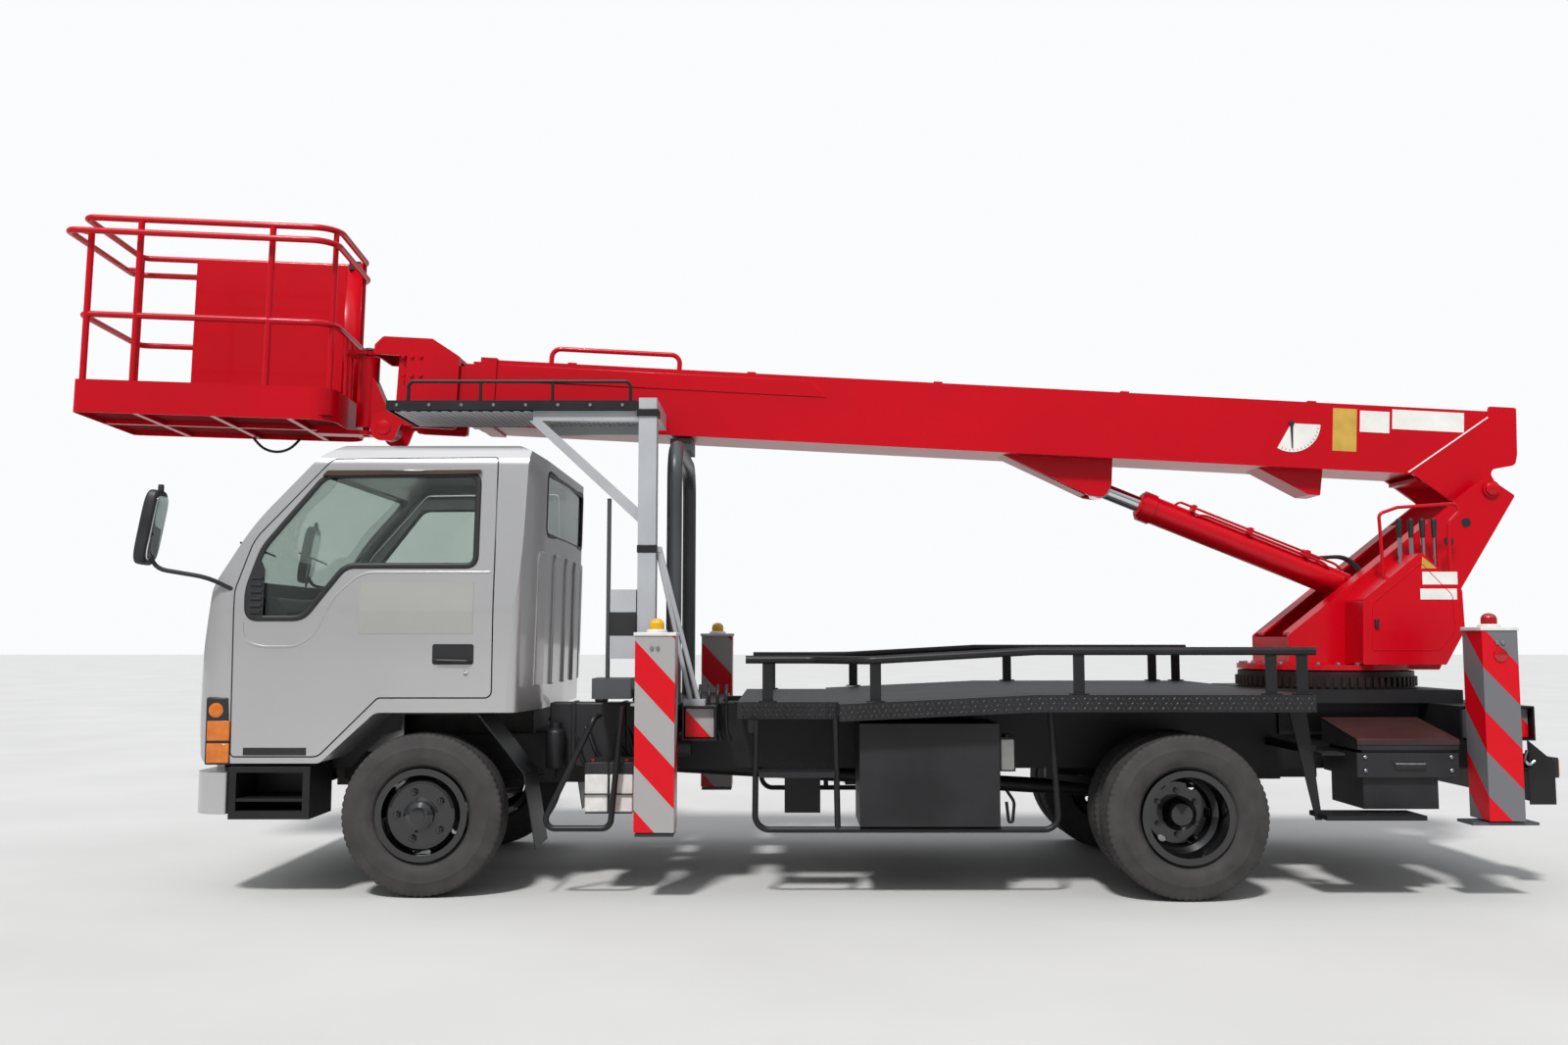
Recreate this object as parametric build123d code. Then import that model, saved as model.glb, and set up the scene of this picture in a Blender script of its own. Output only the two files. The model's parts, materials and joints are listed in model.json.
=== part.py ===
from build123d import *
import math
import os

# A cherry picker truck: a cab-over chassis, a deck, four outriggers, a slewing
# turntable with a four-part telescopic boom, and a basket at the boom's tip.
# Working axes, in mm: x forward from the front axle, y to the left, z up from the ground.
# Every piece moves along x at the end, so that the origin lies under the middle.

# Wheels and axles
WHEELBASE = 3730
TYRE_RADIUS = 400
TYRE_WIDTH = 205
BEAD_RADIUS = 205
BEAD_WIDTH = 176
TREAD_WIDTH = 160
RIM_WALL = 10
RIM_LIP = 22
FRONT_TYRE_Y = 830
REAR_TYRE_INNER_Y = 672
REAR_TYRE_OUTER_Y = 928
HUB_RADIUS = 85
SPINDLE_RADIUS = 34
SPINDLE_GAP = 0.6
HAND_HOLE_WIDTH = 28
FRONT_HAND_HOLES = 5
FRONT_HOLE_CIRCLE = 177
FRONT_HOLE_LENGTH = 88
REAR_HAND_HOLES = 6
REAR_HOLE_CIRCLE = 148
REAR_HOLE_LENGTH = 50
KINGPIN_Y = 620
KINGPIN_RADIUS = 16
KINGPIN_BOSS = 38
AXLE_BEAM_SIZE = 80
AXLE_TUBE_RADIUS = 60
DIFF_RADIUS = 165
SPRING_Y = 340
SPRING_WIDTH = 60
SPRING_THICKNESS = 55
SPRING_HALF_LENGTH = 560

# Chassis frame
RAIL_Y = 375
RAIL_WIDTH = 60
RAIL_HEIGHT = 180
RAIL_TOP = 755
RAIL_WALL = 8
FRAME_FRONT = 900
FRAME_REAR = -5540
CROSSMEMBER_WIDTH = 80

# Subframe and outriggers
SUBFRAME_TOP = 925
SUBFRAME_WIDTH = 90
OUTRIGGER_X = {"front": -1154, "rear": -5235}
OUTRIGGER_STAGGER = 200
CROSS_TUBE_SIZE = 170
CROSS_TUBE_WALL = 8
CROSS_TUBE_HALF_LENGTH = 840
BEAM_GAP = 6
BEAM_TAIL_Y = 800
HOUSING_INNER_Y = 894
HOUSING_DEPTH = 186
HOUSING_ROOF = 28
HOUSING_WIDTH = {"front": 193, "rear": 172}
HOUSING_TOP = {"front": 1278, "rear": 1304}
HOUSING_BOTTOM = {"front": 338, "rear": 392}
CAP_THICKNESS = 12
LEG_SIZE = 110
LEG_GAP = 6
LEG_TOP_GAP = 60
PAD_LENGTH = {"front": 186, "rear": 320}
PAD_WIDTH = 150
PAD_THICKNESS = 14
PAD_GAP = 8
LAMP_RADIUS = 33
LAMP_HEIGHT = 68

# Cab
CAB_WIDTH = 1940
CAB_REAR = -487
CAB_REAR_BOW = 73
CAB_REAR_LEAN = 0.02
CAB_FRONT = 1120
CAB_WALL = 36
CAB_ROOF_Y = 905
CAB_WAIST = 1400
CAB_ROOF = 2285
CAB_SILL = 655
CAB_FLOOR_REAR = 900
TUNNEL_TOP = 884
CAB_PLAN_RADIUS = 170
DOOR_FRONT = 922
DOOR_REAR = -340
DOOR_BOTTOM = 690
DOOR_BOTTOM_REAR = 975
DOOR_TOP = CAB_ROOF - 120
DOOR_GAP = 7
HINGE_OUT = 6
WINDOW_TOP = CAB_ROOF - 205
GLASS_DEPTH = 12
GLASS_THICKNESS = 5
SCREEN_HALF_WIDTH = 790
SCREEN_BOTTOM = 1545
SCREEN_TOP = CAB_ROOF - 175
REAR_WINDOW_HALF_WIDTH = 600
REAR_WINDOW_TOP = CAB_ROOF - 155
REAR_WINDOW_HEIGHT = 330
ARCH_INNER_Y = 600
ARCH_OUTER_Y = 930
SEAT_Y = 470
STEERING_WHEEL_RADIUS = 200
STEERING_WHEEL_TUBE = 14
STEERING_COLUMN_LEAN = 32

# Deck
DECK_FRONT = -1545
DECK_STEP_X = -2045
DECK_SLOPE_END = -3000
DECK_REAR = -4340
DECK_NARROW_Y = 860
DECK_Y = 1080
DECK_LOW_TOP = 946
DECK_HIGH_TOP = 991
DECK_SKIRT = 83
DECK_PLATE = 6
RAIL_TUBE_RADIUS = 15
HANDRAIL_RADIUS = 20
HANDRAIL_HEIGHT = 210
HANDRAIL_INSET = 30
HANDRAIL_OVERHANG = 12
HANDRAIL_POST_WIDTH = 54
HANDRAIL_POSTS = [-1696, -2220, -3205, -4136, -4286]

# Turntable and lift
SLEW_X = -4815
SLEW_RADIUS = 475
SLEW_BOTTOM = 993
SLEW_HEIGHT = 92
SLEW_TEETH = 72
TOOTH_HEIGHT = 14
TABLE_GAP = 8
TABLE_PLATE = 28
TABLE_HALF_WIDTH = 280
CHEEK_THICKNESS = 22
PIVOT_X = -5650
PIVOT_Z = 2077
PIVOT_RADIUS = 34
PIVOT_BOSS = 46
BOOM_TILT = 3
BOOM_WIDTH = 360
BOOM_HEIGHT = 373
BOOM_BOTTOM = 77
BOOM_FOOT = 300
BOOM_FRONT = 5600
BOOM_WALL = 6
BOOM_GAP = 6
BOOM_STEP = 45
LIFT_FOOT_X = -5000
LIFT_FOOT_Z = 1530
LIFT_EYE_X = -3560
LIFT_EYE_Z = 2113
LIFT_BARREL_RADIUS = 78
LIFT_ROD_SHOWN = 264
LIFT_ROD_RADIUS = 45
LIFT_ROD_GAP = 1
LIFT_EYE_RADIUS = 62
LIFT_PIN_RADIUS = 34

# Boom head and basket
LEVEL_PIVOT_X = 470
LEVEL_PIVOT_Z = 2440
HEAD_HALF_WIDTH = 170
HEAD_EAR_RADIUS = 72
LEVEL_PIN_RADIUS = 22
BASKET_TILT = 1.1
BASKET_YAW = 5
SWING_OUT = 140
SWING_PIN_RADIUS = 18
COLUMN_RADIUS = 60
COLUMN_HEIGHT = 420
TRAY_REAR = 225
TRAY_FRONT = 1580
TRAY_HALF_WIDTH = 424
TRAY_BOTTOM = -9
TRAY_TOP = 169
TRAY_FLOOR = 25
TRAY_WALL = 5
TRAY_CORNER = 130
BASKET_TUBE_RADIUS = 17
RAIL_HALF_WIDTH = 398
RAIL_REAR = 250
MID_RAIL = 527
LOW_TOP_RAIL = 968
HIGH_TOP_RAIL = 1056
PANEL_FRONT = 1258
PANEL_THICKNESS = 4

# Gantry, platform and boom rest
GANTRY_POST = 92
GANTRY_X = -1080
GANTRY_Y = 750
GANTRY_TOP = 2490
PLATFORM_FRONT = 260
PLATFORM_REAR = -1030
PLATFORM_INNER_Y = 235
PLATFORM_OUTER_Y = 800
PLATFORM_TOP = 2476
PLATFORM_HEIGHT = 50
REST_X = -1200
REST_Y = 550
REST_TUBE_RADIUS = 40
REST_TOP = 2330
PAD_CLEARANCE = 7


def block(x0, x1, y0, y1, z0, z1):
    """A box between two corners."""
    size = (abs(x1 - x0), abs(y1 - y0), abs(z1 - z0))
    return Pos((x0 + x1) / 2, (y0 + y1) / 2, (z0 + z1) / 2) * Box(*size)


def side_plate(points, y0, y1, radii=0):
    """An outline in x and z, given a thickness from y0 to y1."""
    corners = [(x, y0, z) for x, z in points]
    outline = FilletPolyline(*corners, radius=radii, close=True)
    return extrude(make_face(outline), amount=y1 - y0, dir=(0, 1, 0))


def front_plate(points, x0, x1, radii=0):
    """An outline in y and z, given a thickness from x0 to x1."""
    corners = [(x0, y, z) for y, z in points]
    outline = FilletPolyline(*corners, radius=radii, close=True)
    return extrude(make_face(outline), amount=x1 - x0, dir=(1, 0, 0))


def plan_plate(points, z0, z1, radii=0):
    """An outline in x and y, given a height from z0 to z1."""
    corners = [(x, y, z0) for x, y in points]
    outline = FilletPolyline(*corners, radius=radii, close=True)
    return extrude(make_face(outline), amount=z1 - z0, dir=(0, 0, 1))


def rod(start, end, radius):
    """A round bar between two points."""
    start = Vector(*start)
    along = Vector(*end) - start
    base = Plane(origin=start, z_dir=along)
    return extrude(base * Circle(radius), amount=along.length)


def cross_rod(x, z, y0, y1, radius):
    """A round bar along y."""
    return rod((x, y0, z), (x, y1, z), radius)


def upright_rod(x, y, z0, z1, radius):
    """A round bar along z."""
    return rod((x, y, z0), (x, y, z1), radius)


def bent_tube(points, bend, radius):
    """A round tube along straight runs joined by arcs."""
    path = FilletPolyline(*points, radius=bend)
    base = Plane(origin=path @ 0, z_dir=path % 0)
    return sweep(base * Circle(radius), path=path)


def box_tube(x0, x1, y0, y1, z0, z1, wall, along):
    """A rectangular tube, open at both ends, along x, y or z."""
    inset = {
        "x": (0, wall, wall),
        "y": (wall, 0, wall),
        "z": (wall, wall, 0),
    }[along]
    outer = block(x0, x1, y0, y1, z0, z1)
    inner = block(
        x0 + inset[0], x1 - inset[0], y0 + inset[1], y1 - inset[1], z0 + inset[2], z1 - inset[2]
    )
    return outer - inner


def turned(profile, y_middle, side):
    """A turned piece about y. The profile lists (radius, distance outwards from y_middle)."""
    corners = [(radius, side * (y_middle + out), 0) for radius, out in profile]
    face = make_face(Polyline(*corners, close=True))
    return revolve(face, axis=Axis.Y)


def mirrored(shape):
    """The same piece on the truck's other side."""
    return mirror(shape, about=Plane.XZ)


def both_sides(shape):
    """The piece and its mirror image."""
    return shape + mirrored(shape)


# Wheels
def tyre(y_middle, side):
    """A tyre standing at x = 0, with a flat tread and bulged walls."""
    half_bead = BEAD_WIDTH / 2
    half_tread = TREAD_WIDTH / 2
    half = TYRE_WIDTH / 2
    depth = TYRE_RADIUS - BEAD_RADIUS
    outer_half = [
        (BEAD_RADIUS, half_bead),
        (BEAD_RADIUS + 0.15 * depth, half_bead + 2),
        (BEAD_RADIUS + 0.45 * depth, half),
        (BEAD_RADIUS + 0.72 * depth, half - 2),
        (TYRE_RADIUS - 0.08 * depth, half_tread + 6),
        (TYRE_RADIUS, half_tread),
    ]
    inner_half = [(radius, -out) for radius, out in reversed(outer_half)]
    return turned(outer_half + inner_half, y_middle, side)


def rim_barrel(y_middle, side):
    """The rim's barrel with a lip at both edges."""
    seat = BEAD_RADIUS - 1
    half = BEAD_WIDTH / 2 + 12
    lip = seat + RIM_LIP
    well = seat - RIM_WALL
    profile = [
        (lip, half),
        (lip, half - 8),
        (seat, half - 10),
        (seat, 10 - half),
        (lip, 8 - half),
        (lip, -half),
        (well, -half),
        (well, half),
    ]
    return turned(profile, y_middle, side)


def hand_holes(count, circle, length, y_middle, side):
    """Slots with round ends through a wheel's disc."""
    slot = Plane.XZ * Pos(0, circle) * SlotOverall(length, HAND_HOLE_WIDTH)
    cutter = Pos(0, side * y_middle, 0) * extrude(slot, amount=BEAD_WIDTH, both=True)
    holes = Part()
    for index in range(count):
        holes += Rot(0, 360 * (index + 0.5) / count, 0) * cutter
    return holes


def front_rim(side):
    """A front wheel: its flat disc bulges outwards to a domed hub."""
    well = BEAD_RADIUS - 1 - RIM_WALL
    disc = [
        (well, 34),
        (well, 48),
        (184, 62),
        (164, 88),
        (150, 92),
        (HUB_RADIUS, 92),
        (70, 98),
        (66, 122),
        (44, 138),
        (0.0, 142),
        (0.0, 60),
        (SPINDLE_RADIUS + SPINDLE_GAP, 60),
        (SPINDLE_RADIUS + SPINDLE_GAP, -90),
        (HUB_RADIUS, -90),
        (HUB_RADIUS, 80),
        (148, 80),
        (156, 76),
        (178, 50),
    ]
    holes = hand_holes(
        FRONT_HAND_HOLES, FRONT_HOLE_CIRCLE, FRONT_HOLE_LENGTH, FRONT_TYRE_Y, side
    )
    return rim_barrel(FRONT_TYRE_Y, side) + (turned(disc, FRONT_TYRE_Y, side) - holes)


def rear_rim(side):
    """A pair of twin rims: their dished discs meet between the tyres."""
    middle = (REAR_TYRE_INNER_Y + REAR_TYRE_OUTER_Y) / 2
    well = BEAD_RADIUS - 1 - RIM_WALL
    outer_disc = [
        (well, 50),
        (well, 62),
        (168, 40),
        (150, 12),
        (HUB_RADIUS, 12),
        (HUB_RADIUS, 0.0),
        (155, 0.0),
        (178, 30),
    ]
    inner_disc = [(radius, -out) for radius, out in outer_disc]
    hub = [
        (0.0, 112),
        (52, 108),
        (60, 90),
        (HUB_RADIUS, 60),
        (HUB_RADIUS + 2, -200),
        (SPINDLE_RADIUS + SPINDLE_GAP, -200),
        (SPINDLE_RADIUS + SPINDLE_GAP, 40),
        (0.0, 40),
    ]
    discs = turned(outer_disc, middle, side) + turned(inner_disc, middle, side)
    discs -= hand_holes(REAR_HAND_HOLES, REAR_HOLE_CIRCLE, REAR_HOLE_LENGTH, middle, side)
    wheel = rim_barrel(REAR_TYRE_INNER_Y, side) + rim_barrel(REAR_TYRE_OUTER_Y, side)
    return wheel + discs + turned(hub, middle, side)


# Axles and drive
def knuckle(side):
    """A steering knuckle: a fork on the kingpin and the wheel's spindle."""
    body = block(-55, 55, side * (KINGPIN_Y - 45), side * (KINGPIN_Y + 80), 330, 470)
    fork = block(-60, 60, side * (KINGPIN_Y - 60), side * (KINGPIN_Y + 45), 355, 445)
    bore = upright_rod(0, side * KINGPIN_Y, 320, 480, KINGPIN_RADIUS + SPINDLE_GAP)
    spindle = cross_rod(
        0, TYRE_RADIUS, side * (KINGPIN_Y + 60), side * (FRONT_TYRE_Y + 50), SPINDLE_RADIUS
    )
    arm = block(-190, -40, side * (KINGPIN_Y - 30), side * (KINGPIN_Y + 5), 335, 352)
    return body - fork - bore + spindle + arm


def spring_pack(x, z):
    """A leaf spring and its clamp under one rail."""
    y0 = SPRING_Y - SPRING_WIDTH / 2
    y1 = SPRING_Y + SPRING_WIDTH / 2
    rise = RAIL_TOP - RAIL_HEIGHT - z - SPRING_THICKNESS
    half = SPRING_HALF_LENGTH
    thick = SPRING_THICKNESS
    leaves = [
        (x - half, z + rise),
        (x - half * 0.4, z + rise * 0.3),
        (x, z),
        (x + half * 0.4, z + rise * 0.3),
        (x + half, z + rise),
        (x + half, z + rise + thick * 0.5),
        (x + half * 0.4, z + rise * 0.4 + thick * 0.8),
        (x, z + thick),
        (x - half * 0.4, z + rise * 0.4 + thick * 0.8),
        (x - half, z + rise + thick * 0.5),
    ]
    shackles = Part()
    for end in (-1, 1):
        edge = x + end * (half - 30)
        shackles += block(edge - 30, edge + 30, y0, y1, z + rise, RAIL_TOP - RAIL_HEIGHT)
    return side_plate(leaves, y0, y1) + shackles


def front_axle():
    """The front axle's beam, dropped between the springs, with its leaf springs."""
    size = AXLE_BEAM_SIZE
    reach = KINGPIN_Y - 85
    beam = block(-size / 2, size / 2, -reach, reach, 340, 340 + size)
    end = block(-35, 35, reach - 40, KINGPIN_Y, 361, 439)
    end += upright_rod(0, KINGPIN_Y, 361, 439, KINGPIN_BOSS)
    end += upright_rod(0, KINGPIN_Y, 322, 478, KINGPIN_RADIUS)
    return beam + both_sides(end) + both_sides(spring_pack(0, 340 + size))


def rear_axle():
    """The rear axle's housing and differential, its springs and the propeller shaft."""
    x = -WHEELBASE
    z = TYRE_RADIUS
    middle = (REAR_TYRE_INNER_Y + REAR_TYRE_OUTER_Y) / 2
    tube = cross_rod(x, z, -REAR_TYRE_INNER_Y + 90, REAR_TYRE_INNER_Y - 90, AXLE_TUBE_RADIUS)
    spindle = cross_rod(x, z, -middle - 20, middle + 20, SPINDLE_RADIUS)
    ball = Pos(x, 0, z) * Sphere(DIFF_RADIUS)
    shaft = rod((x + 100, 0, z + 20), (-1150, 0, 560), 42)
    springs = both_sides(spring_pack(x, z + AXLE_TUBE_RADIUS - 6))
    return tube + spindle + ball + shaft + springs


def engine_gearbox():
    """The engine and gearbox as one plain mass between the rails."""
    engine = block(-420, 460, -255, 255, 480, 870)
    gearbox = block(-1000, -420, -170, 170, 480, 760)
    flange = rod((-1000, 0, 565), (-1140, 0, 560), 70)
    radiator = block(560, 620, -300, 300, 480, 650)
    return engine + gearbox + flange + radiator


# Chassis
def chassis_frame():
    """Two channel rails and the members between them."""
    frame = Part()
    z0 = RAIL_TOP - RAIL_HEIGHT
    for side in (-1, 1):
        outer = side * RAIL_Y
        inner = side * (RAIL_Y - RAIL_WIDTH)
        web = side * (RAIL_Y - RAIL_WALL)
        rail = block(FRAME_REAR, FRAME_FRONT, outer, inner, z0, RAIL_TOP)
        rail -= block(FRAME_REAR, FRAME_FRONT, web, inner, z0 + RAIL_WALL, RAIL_TOP - RAIL_WALL)
        frame += rail
    # Middle of each crossmember along x, and its height
    members = [(840, 120), (-1400, 120), (-2300, 120), (-3120, 120), (-4300, 120), (-5480, 120)]
    reach = RAIL_Y - RAIL_WALL
    for x, height in members:
        x0 = x - CROSSMEMBER_WIDTH / 2
        x1 = x + CROSSMEMBER_WIDTH / 2
        frame += block(x0, x1, -reach, reach, RAIL_TOP - 30 - height, RAIL_TOP - 30)
    return frame


def cross_tube(x):
    """One square tube across the frame that an outrigger's beam slides in."""
    half = CROSS_TUBE_SIZE / 2
    length = CROSS_TUBE_HALF_LENGTH
    z0 = RAIL_TOP
    return box_tube(
        x - half, x + half, -length, length, z0, z0 + CROSS_TUBE_SIZE, CROSS_TUBE_WALL, "y"
    )


def subframe():
    """Box beams on the rails, the outriggers' cross tubes and the pedestal."""
    half = CROSS_TUBE_SIZE / 2
    front_end = OUTRIGGER_X["front"] - OUTRIGGER_STAGGER - half
    rear_end = OUTRIGGER_X["rear"] + half
    y0 = RAIL_Y - SUBFRAME_WIDTH
    beams = both_sides(block(front_end, rear_end, y0, RAIL_Y, RAIL_TOP, SUBFRAME_TOP))
    frame = beams
    for position in ("front", "rear"):
        x = OUTRIGGER_X[position]
        frame += cross_tube(x) + cross_tube(x - OUTRIGGER_STAGGER)
        middle = x - OUTRIGGER_STAGGER / 2
        gap = (OUTRIGGER_STAGGER - CROSS_TUBE_SIZE) / 2
        frame += block(middle - gap, middle + gap, -500, 500, RAIL_TOP, RAIL_TOP + 20)
    deck_x1 = DECK_REAR - 5
    deck_x0 = SLEW_X - SLEW_RADIUS - 40
    frame += block(deck_x0, deck_x1, -520, 520, SLEW_BOTTOM - 68, SLEW_BOTTOM)
    frame += both_sides(block(rear_end, deck_x1 - 60, 375, 400, RAIL_TOP, SLEW_BOTTOM - 60))
    return frame


def slew_ring():
    """The toothed slewing ring on the pedestal."""
    top = SLEW_BOTTOM + SLEW_HEIGHT
    ring = upright_rod(SLEW_X, 0, SLEW_BOTTOM, top, SLEW_RADIUS - TOOTH_HEIGHT)
    ring -= upright_rod(SLEW_X, 0, SLEW_BOTTOM, top, SLEW_RADIUS - 90)
    width = math.pi * SLEW_RADIUS / SLEW_TEETH
    height = SLEW_HEIGHT * 0.55
    for index in range(SLEW_TEETH):
        tooth = Pos(SLEW_RADIUS - TOOTH_HEIGHT, 0, SLEW_BOTTOM + height / 2 + 12)
        tooth *= Box(2 * TOOTH_HEIGHT, width, height)
        ring += Pos(SLEW_X, 0, 0) * Rot(0, 0, index * 360 / SLEW_TEETH) * tooth
    return ring


# Outriggers
def outrigger_x(position, side):
    """The middle of one outrigger along x. The right one stands behind the left one."""
    return OUTRIGGER_X[position] - (OUTRIGGER_STAGGER if side < 0 else 0)


def outrigger(position, side):
    """A sliding beam with the leg's housing and a lamp at its end."""
    x = outrigger_x(position, side)
    inner = CROSS_TUBE_SIZE / 2 - CROSS_TUBE_WALL - BEAM_GAP
    middle_z = RAIL_TOP + CROSS_TUBE_SIZE / 2
    near = side * HOUSING_INNER_Y
    far = side * (HOUSING_INNER_Y + HOUSING_DEPTH)
    beam = block(
        x - inner, x + inner, -side * BEAM_TAIL_Y, near, middle_z - inner, middle_z + inner
    )
    half = HOUSING_WIDTH[position] / 2
    bottom = HOUSING_BOTTOM[position]
    top = HOUSING_TOP[position]
    housing = block(x - half, x + half, near, far, bottom, top)
    bore = LEG_SIZE / 2 + LEG_GAP
    middle_y = (near + far) / 2
    housing -= block(
        x - bore, x + bore, middle_y - bore, middle_y + bore, bottom - 1, top - HOUSING_ROOF
    )
    cap_top = top + CAP_THICKNESS
    cap = block(x - half - 5, x + half + 5, near - side * 4, far + side * 5, top, cap_top)
    dome_z = cap_top + LAMP_HEIGHT - LAMP_RADIUS
    lamp = upright_rod(x, middle_y, cap_top, dome_z, LAMP_RADIUS)
    lamp += Pos(x, middle_y, dome_z) * Sphere(LAMP_RADIUS)
    return beam + housing + cap + lamp


def jack(position, side):
    """A leg inside its housing, with a foot plate under it."""
    x = outrigger_x(position, side)
    half = LEG_SIZE / 2
    middle_y = side * (HOUSING_INNER_Y + HOUSING_DEPTH / 2)
    top = HOUSING_TOP[position] - HOUSING_ROOF - LEG_TOP_GAP
    pad_top = HOUSING_BOTTOM[position] - PAD_GAP
    leg = block(x - half, x + half, middle_y - half, middle_y + half, pad_top, top)
    length = PAD_LENGTH[position] / 2
    width = PAD_WIDTH / 2
    pad = block(
        x - length, x + length, middle_y - width, middle_y + width, pad_top - PAD_THICKNESS, pad_top
    )
    return leg + pad


# Cab
def cab_solid(inset):
    """The cab's outer form, moved inwards by an inset."""
    brow = CAB_ROOF - 50
    eave = CAB_ROOF - 135
    back = CAB_REAR - CAB_REAR_BOW - 12
    profile = [
        (1085, CAB_SILL), (CAB_FRONT, 950), (1115, 1150), (1052, 1500), (860, CAB_ROOF - 455),
        (535, CAB_ROOF - 95), (400, CAB_ROOF - 23), (50, CAB_ROOF), (-400, CAB_ROOF - 30),
        (back, CAB_ROOF - 110),
        (back, CAB_FLOOR_REAR), (225, CAB_FLOOR_REAR), (490, CAB_SILL),
    ]
    side_radii = [50, 300, 300, 60, 1200, 90, 300, 900, 150, 60, 20, 60, 40]
    half = CAB_WIDTH / 2
    shoulder = CAB_ROOF_Y - 60
    front = [
        (-half, 500), (half, 500), (half, CAB_WAIST), (CAB_ROOF_Y, eave), (shoulder, brow),
        (0, CAB_ROOF + 30), (-shoulder, brow), (-CAB_ROOF_Y, eave), (-half, CAB_WAIST),
    ]
    front_radii = [0, 0, 400, 70, 70, 900, 70, 70, 400]
    # The plan leans back as it rises, and its rear edge is bowed
    foot = 400
    rear = CAB_REAR + CAB_REAR_LEAN * (CAB_ROOF - 120 - foot)
    nose = CAB_FRONT + 25
    bow = rear - CAB_REAR_BOW * 0.8
    plan = [
        (rear, -half), (nose, -half), (nose, half), (rear, half),
        (bow, REAR_WINDOW_HALF_WIDTH), (rear - CAB_REAR_BOW, 0), (bow, -REAR_WINDOW_HALF_WIDTH),
    ]
    plan_radii = [50, CAB_PLAN_RADIUS, CAB_PLAN_RADIUS, 50, 700, 2000, 700]
    side_face = make_face(
        FilletPolyline(*[(x, -1200, z) for x, z in profile], radius=side_radii, close=True)
    )
    front_face = make_face(
        FilletPolyline(*[(-1000, y, z) for y, z in front], radius=front_radii, close=True)
    )
    plan_face = make_face(
        FilletPolyline(*[(x, y, foot) for x, y in plan], radius=plan_radii, close=True)
    )
    if inset:
        side_face = offset(side_face, -inset, kind=Kind.INTERSECTION)
        front_face = offset(front_face, -inset, kind=Kind.INTERSECTION)
        plan_face = offset(plan_face, -inset, kind=Kind.INTERSECTION)
    solid = extrude(side_face, amount=2400, dir=(0, 1, 0))
    solid &= extrude(front_face, amount=2500, dir=(1, 0, 0))
    return solid & extrude(plan_face, amount=2500, dir=(-CAB_REAR_LEAN, 0, 1))


def door_prism(gap, side):
    """The door's outline from the side, grown by a gap, through one side wall."""
    outline = [
        (DOOR_FRONT, DOOR_BOTTOM), (DOOR_FRONT + 8, 1500), (850, CAB_ROOF - 535),
        (484, DOOR_TOP - 10), (DOOR_REAR, DOOR_TOP), (DOOR_REAR, DOOR_BOTTOM_REAR),
        (215, DOOR_BOTTOM_REAR), (500, DOOR_BOTTOM),
    ]
    radii = [20, 150, 250, 60, 15, 30, 40, 60]
    near = CAB_ROOF_Y - 130
    face = make_face(
        FilletPolyline(*[(x, side * near, z) for x, z in outline], radius=radii, close=True)
    )
    if gap:
        face = offset(face, gap, kind=Kind.INTERSECTION)
    return extrude(face, amount=400, dir=(0, side, 0))


def door_window_prism(side):
    """The door window's outline, with its low front part, through one side wall."""
    outline = [
        (-250, 1620), (395, 1620), (590, 1361), (864, 1361), (872, 1500),
        (806, CAB_ROOF - 575), (515, WINDOW_TOP - 5), (-250, WINDOW_TOP),
    ]
    radii = [25, 40, 40, 25, 90, 200, 35, 30]
    near = CAB_ROOF_Y - 130
    face = make_face(
        FilletPolyline(*[(x, side * near, z) for x, z in outline], radius=radii, close=True)
    )
    return extrude(face, amount=400, dir=(0, side, 0))


def screen_prism():
    """The windscreen's outline from the front."""
    half = SCREEN_HALF_WIDTH
    corners = [
        (-half, SCREEN_BOTTOM), (half, SCREEN_BOTTOM), (half - 40, SCREEN_TOP), (40 - half, SCREEN_TOP)
    ]
    return front_plate(corners, 380, 1300, 70)


def rear_window_prism():
    """The rear window's outline from behind."""
    half = REAR_WINDOW_HALF_WIDTH
    top = REAR_WINDOW_TOP
    bottom = top - REAR_WINDOW_HEIGHT
    corners = [(-half, bottom), (half, bottom), (half, top), (-half, top)]
    return front_plate(corners, CAB_REAR - 2 * CAB_REAR_BOW, CAB_REAR + 120, 50)


def make_cab():
    """The cab's shell, its glass, and the two doors with theirs."""
    outer = cab_solid(0)
    walls = outer - cab_solid(CAB_WALL)
    panes = cab_solid(GLASS_DEPTH) - cab_solid(GLASS_DEPTH + GLASS_THICKNESS)
    shell = walls - screen_prism() - rear_window_prism()
    # A tunnel over the rails and the engine, between the two foot wells
    half = RAIL_Y + 15
    shell -= block(150, 960, -half, half, CAB_SILL - 10, TUNNEL_TOP)
    shell += block(150, 985, -half - 12, half + 12, TUNNEL_TOP, TUNNEL_TOP + 15)
    for side in (-1, 1):
        shell += block(240, 985, side * half, side * (half + 12), CAB_SILL + 10, TUNNEL_TOP)
    shell += block(970, 985, -half, half, CAB_SILL + 20, TUNNEL_TOP)
    shell -= front_lamps()
    # The floor's edge stays with the cab when a door swings open
    reach = CAB_WIDTH / 2 - CAB_WALL
    floor_edge = block(DOOR_REAR - 1, DOOR_FRONT + 9, -reach, reach, CAB_SILL, CAB_WAIST)
    made = {}
    for name, side in (("left", 1), ("right", -1)):
        shell -= door_prism(DOOR_GAP, side)
        prism = door_prism(0, side)
        window = door_window_prism(side)
        made[f"door_{name}"] = (walls & prism) - window - floor_edge
        made[f"door_glass_{name}"] = panes & window
    made["cab_shell"] = shell
    made["cab_glass"] = (panes & screen_prism()) + (panes & rear_window_prism())
    return made


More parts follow.
